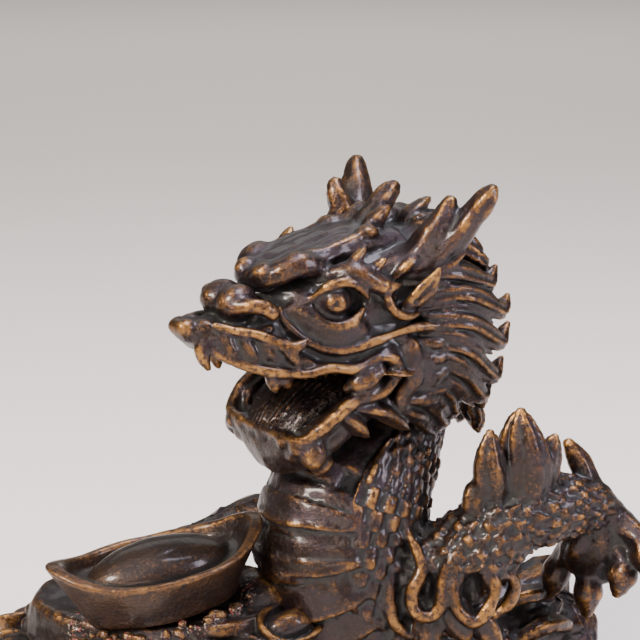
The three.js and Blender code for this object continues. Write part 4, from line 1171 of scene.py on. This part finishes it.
def make_stage():
    """The pale floor, soft lights from upper left, front and behind, and the camera."""
    board = bpy.data.meshes.new("floor")
    board.from_pydata([(-3, -3, 0), (3, -3, 0), (3, 3, 0), (-3, 3, 0)], [], [(0, 1, 2, 3)])
    floor = bpy.data.objects.new("floor", board)
    board.materials.append(painted_board("pale_matt_board", "#e4dfd8", 0.8))
    bpy.context.scene.collection.objects.link(floor)
    for box in SOFT_BOXES:
        soft_light(*box)
    dome = bpy.data.lights.new("ceiling", "SUN")
    dome.energy, dome.angle = 1.1, math.radians(70)
    ceiling = bpy.data.objects.new("ceiling", dome)
    ceiling.rotation_euler = (math.radians(18), math.radians(-14), 0)
    bpy.context.scene.collection.objects.link(ceiling)
    world = bpy.data.worlds.new("studio")
    world.use_nodes = True
    world.node_tree.nodes["Background"].inputs[0].default_value = linear("#d6cdc6")
    world.node_tree.nodes["Background"].inputs[1].default_value = 0.26
    bpy.context.scene.world = world
    lens = bpy.data.cameras.new("camera")
    lens.sensor_width = CAMERA["sensor"]
    lens.lens = CAMERA["lens"]
    camera = bpy.data.objects.new("camera", lens)
    camera.location = CAMERA["at"]
    camera.rotation_euler = (math.radians(CAMERA["up_from_nadir"]), 0, 0)
    bpy.context.scene.collection.objects.link(camera)
    bpy.context.scene.camera = camera


# ---- the add-on

class OrnamentSettings(bpy.types.PropertyGroup):
    triangles: bpy.props.IntProperty(name="Dragon triangles",
                                     description="How many triangles the dragon is thinned to",
                                     default=DETAIL["dragon"][1][1], min=20000,
                                     max=DETAIL["dragon"][1][1])


class ORNAMENT_OT_dragon(bpy.types.Operator):
    """Sculpt the dragon"""
    bl_idname = "ornament.dragon"
    bl_label = "Dragon"

    def execute(self, context):
        make_dragon(context.scene.ornament.triangles)
        return {"FINISHED"}


class ORNAMENT_OT_mound(bpy.types.Operator):
    """Sculpt the base and the heap of treasure"""
    bl_idname = "ornament.mound"
    bl_label = "Treasure mound"

    def execute(self, context):
        make_mound()
        return {"FINISHED"}


class ORNAMENT_OT_ingot(bpy.types.Operator):
    """Sculpt the large ingot"""
    bl_idname = "ornament.ingot"
    bl_label = "Large ingot"

    def execute(self, context):
        make_ingot()
        return {"FINISHED"}


class ORNAMENT_OT_stage(bpy.types.Operator):
    """Add the floor, lights and camera"""
    bl_idname = "ornament.stage"
    bl_label = "Stage"

    def execute(self, context):
        make_stage()
        return {"FINISHED"}


class ORNAMENT_PT_panel(bpy.types.Panel):
    bl_label = "Dragon ornament"
    bl_idname = "ORNAMENT_PT_panel"
    bl_space_type = "VIEW_3D"
    bl_region_type = "UI"
    bl_category = "Ornament"

    def draw(self, context):
        self.layout.prop(context.scene.ornament, "triangles")
        for operator in OPERATORS:
            self.layout.operator(operator.bl_idname)


OPERATORS = (ORNAMENT_OT_dragon, ORNAMENT_OT_mound, ORNAMENT_OT_ingot, ORNAMENT_OT_stage)
CLASSES = (OrnamentSettings, *OPERATORS, ORNAMENT_PT_panel)


def register():
    for entry in CLASSES:
        bpy.utils.register_class(entry)
    bpy.types.Scene.ornament = bpy.props.PointerProperty(type=OrnamentSettings)


def unregister():
    del bpy.types.Scene.ornament
    for entry in reversed(CLASSES):
        bpy.utils.unregister_class(entry)


def main():
    register()
    bpy.ops.ornament.dragon()
    bpy.ops.ornament.mound()
    bpy.ops.ornament.ingot()
    bpy.ops.ornament.stage()


if __name__ == "__main__":
    main()
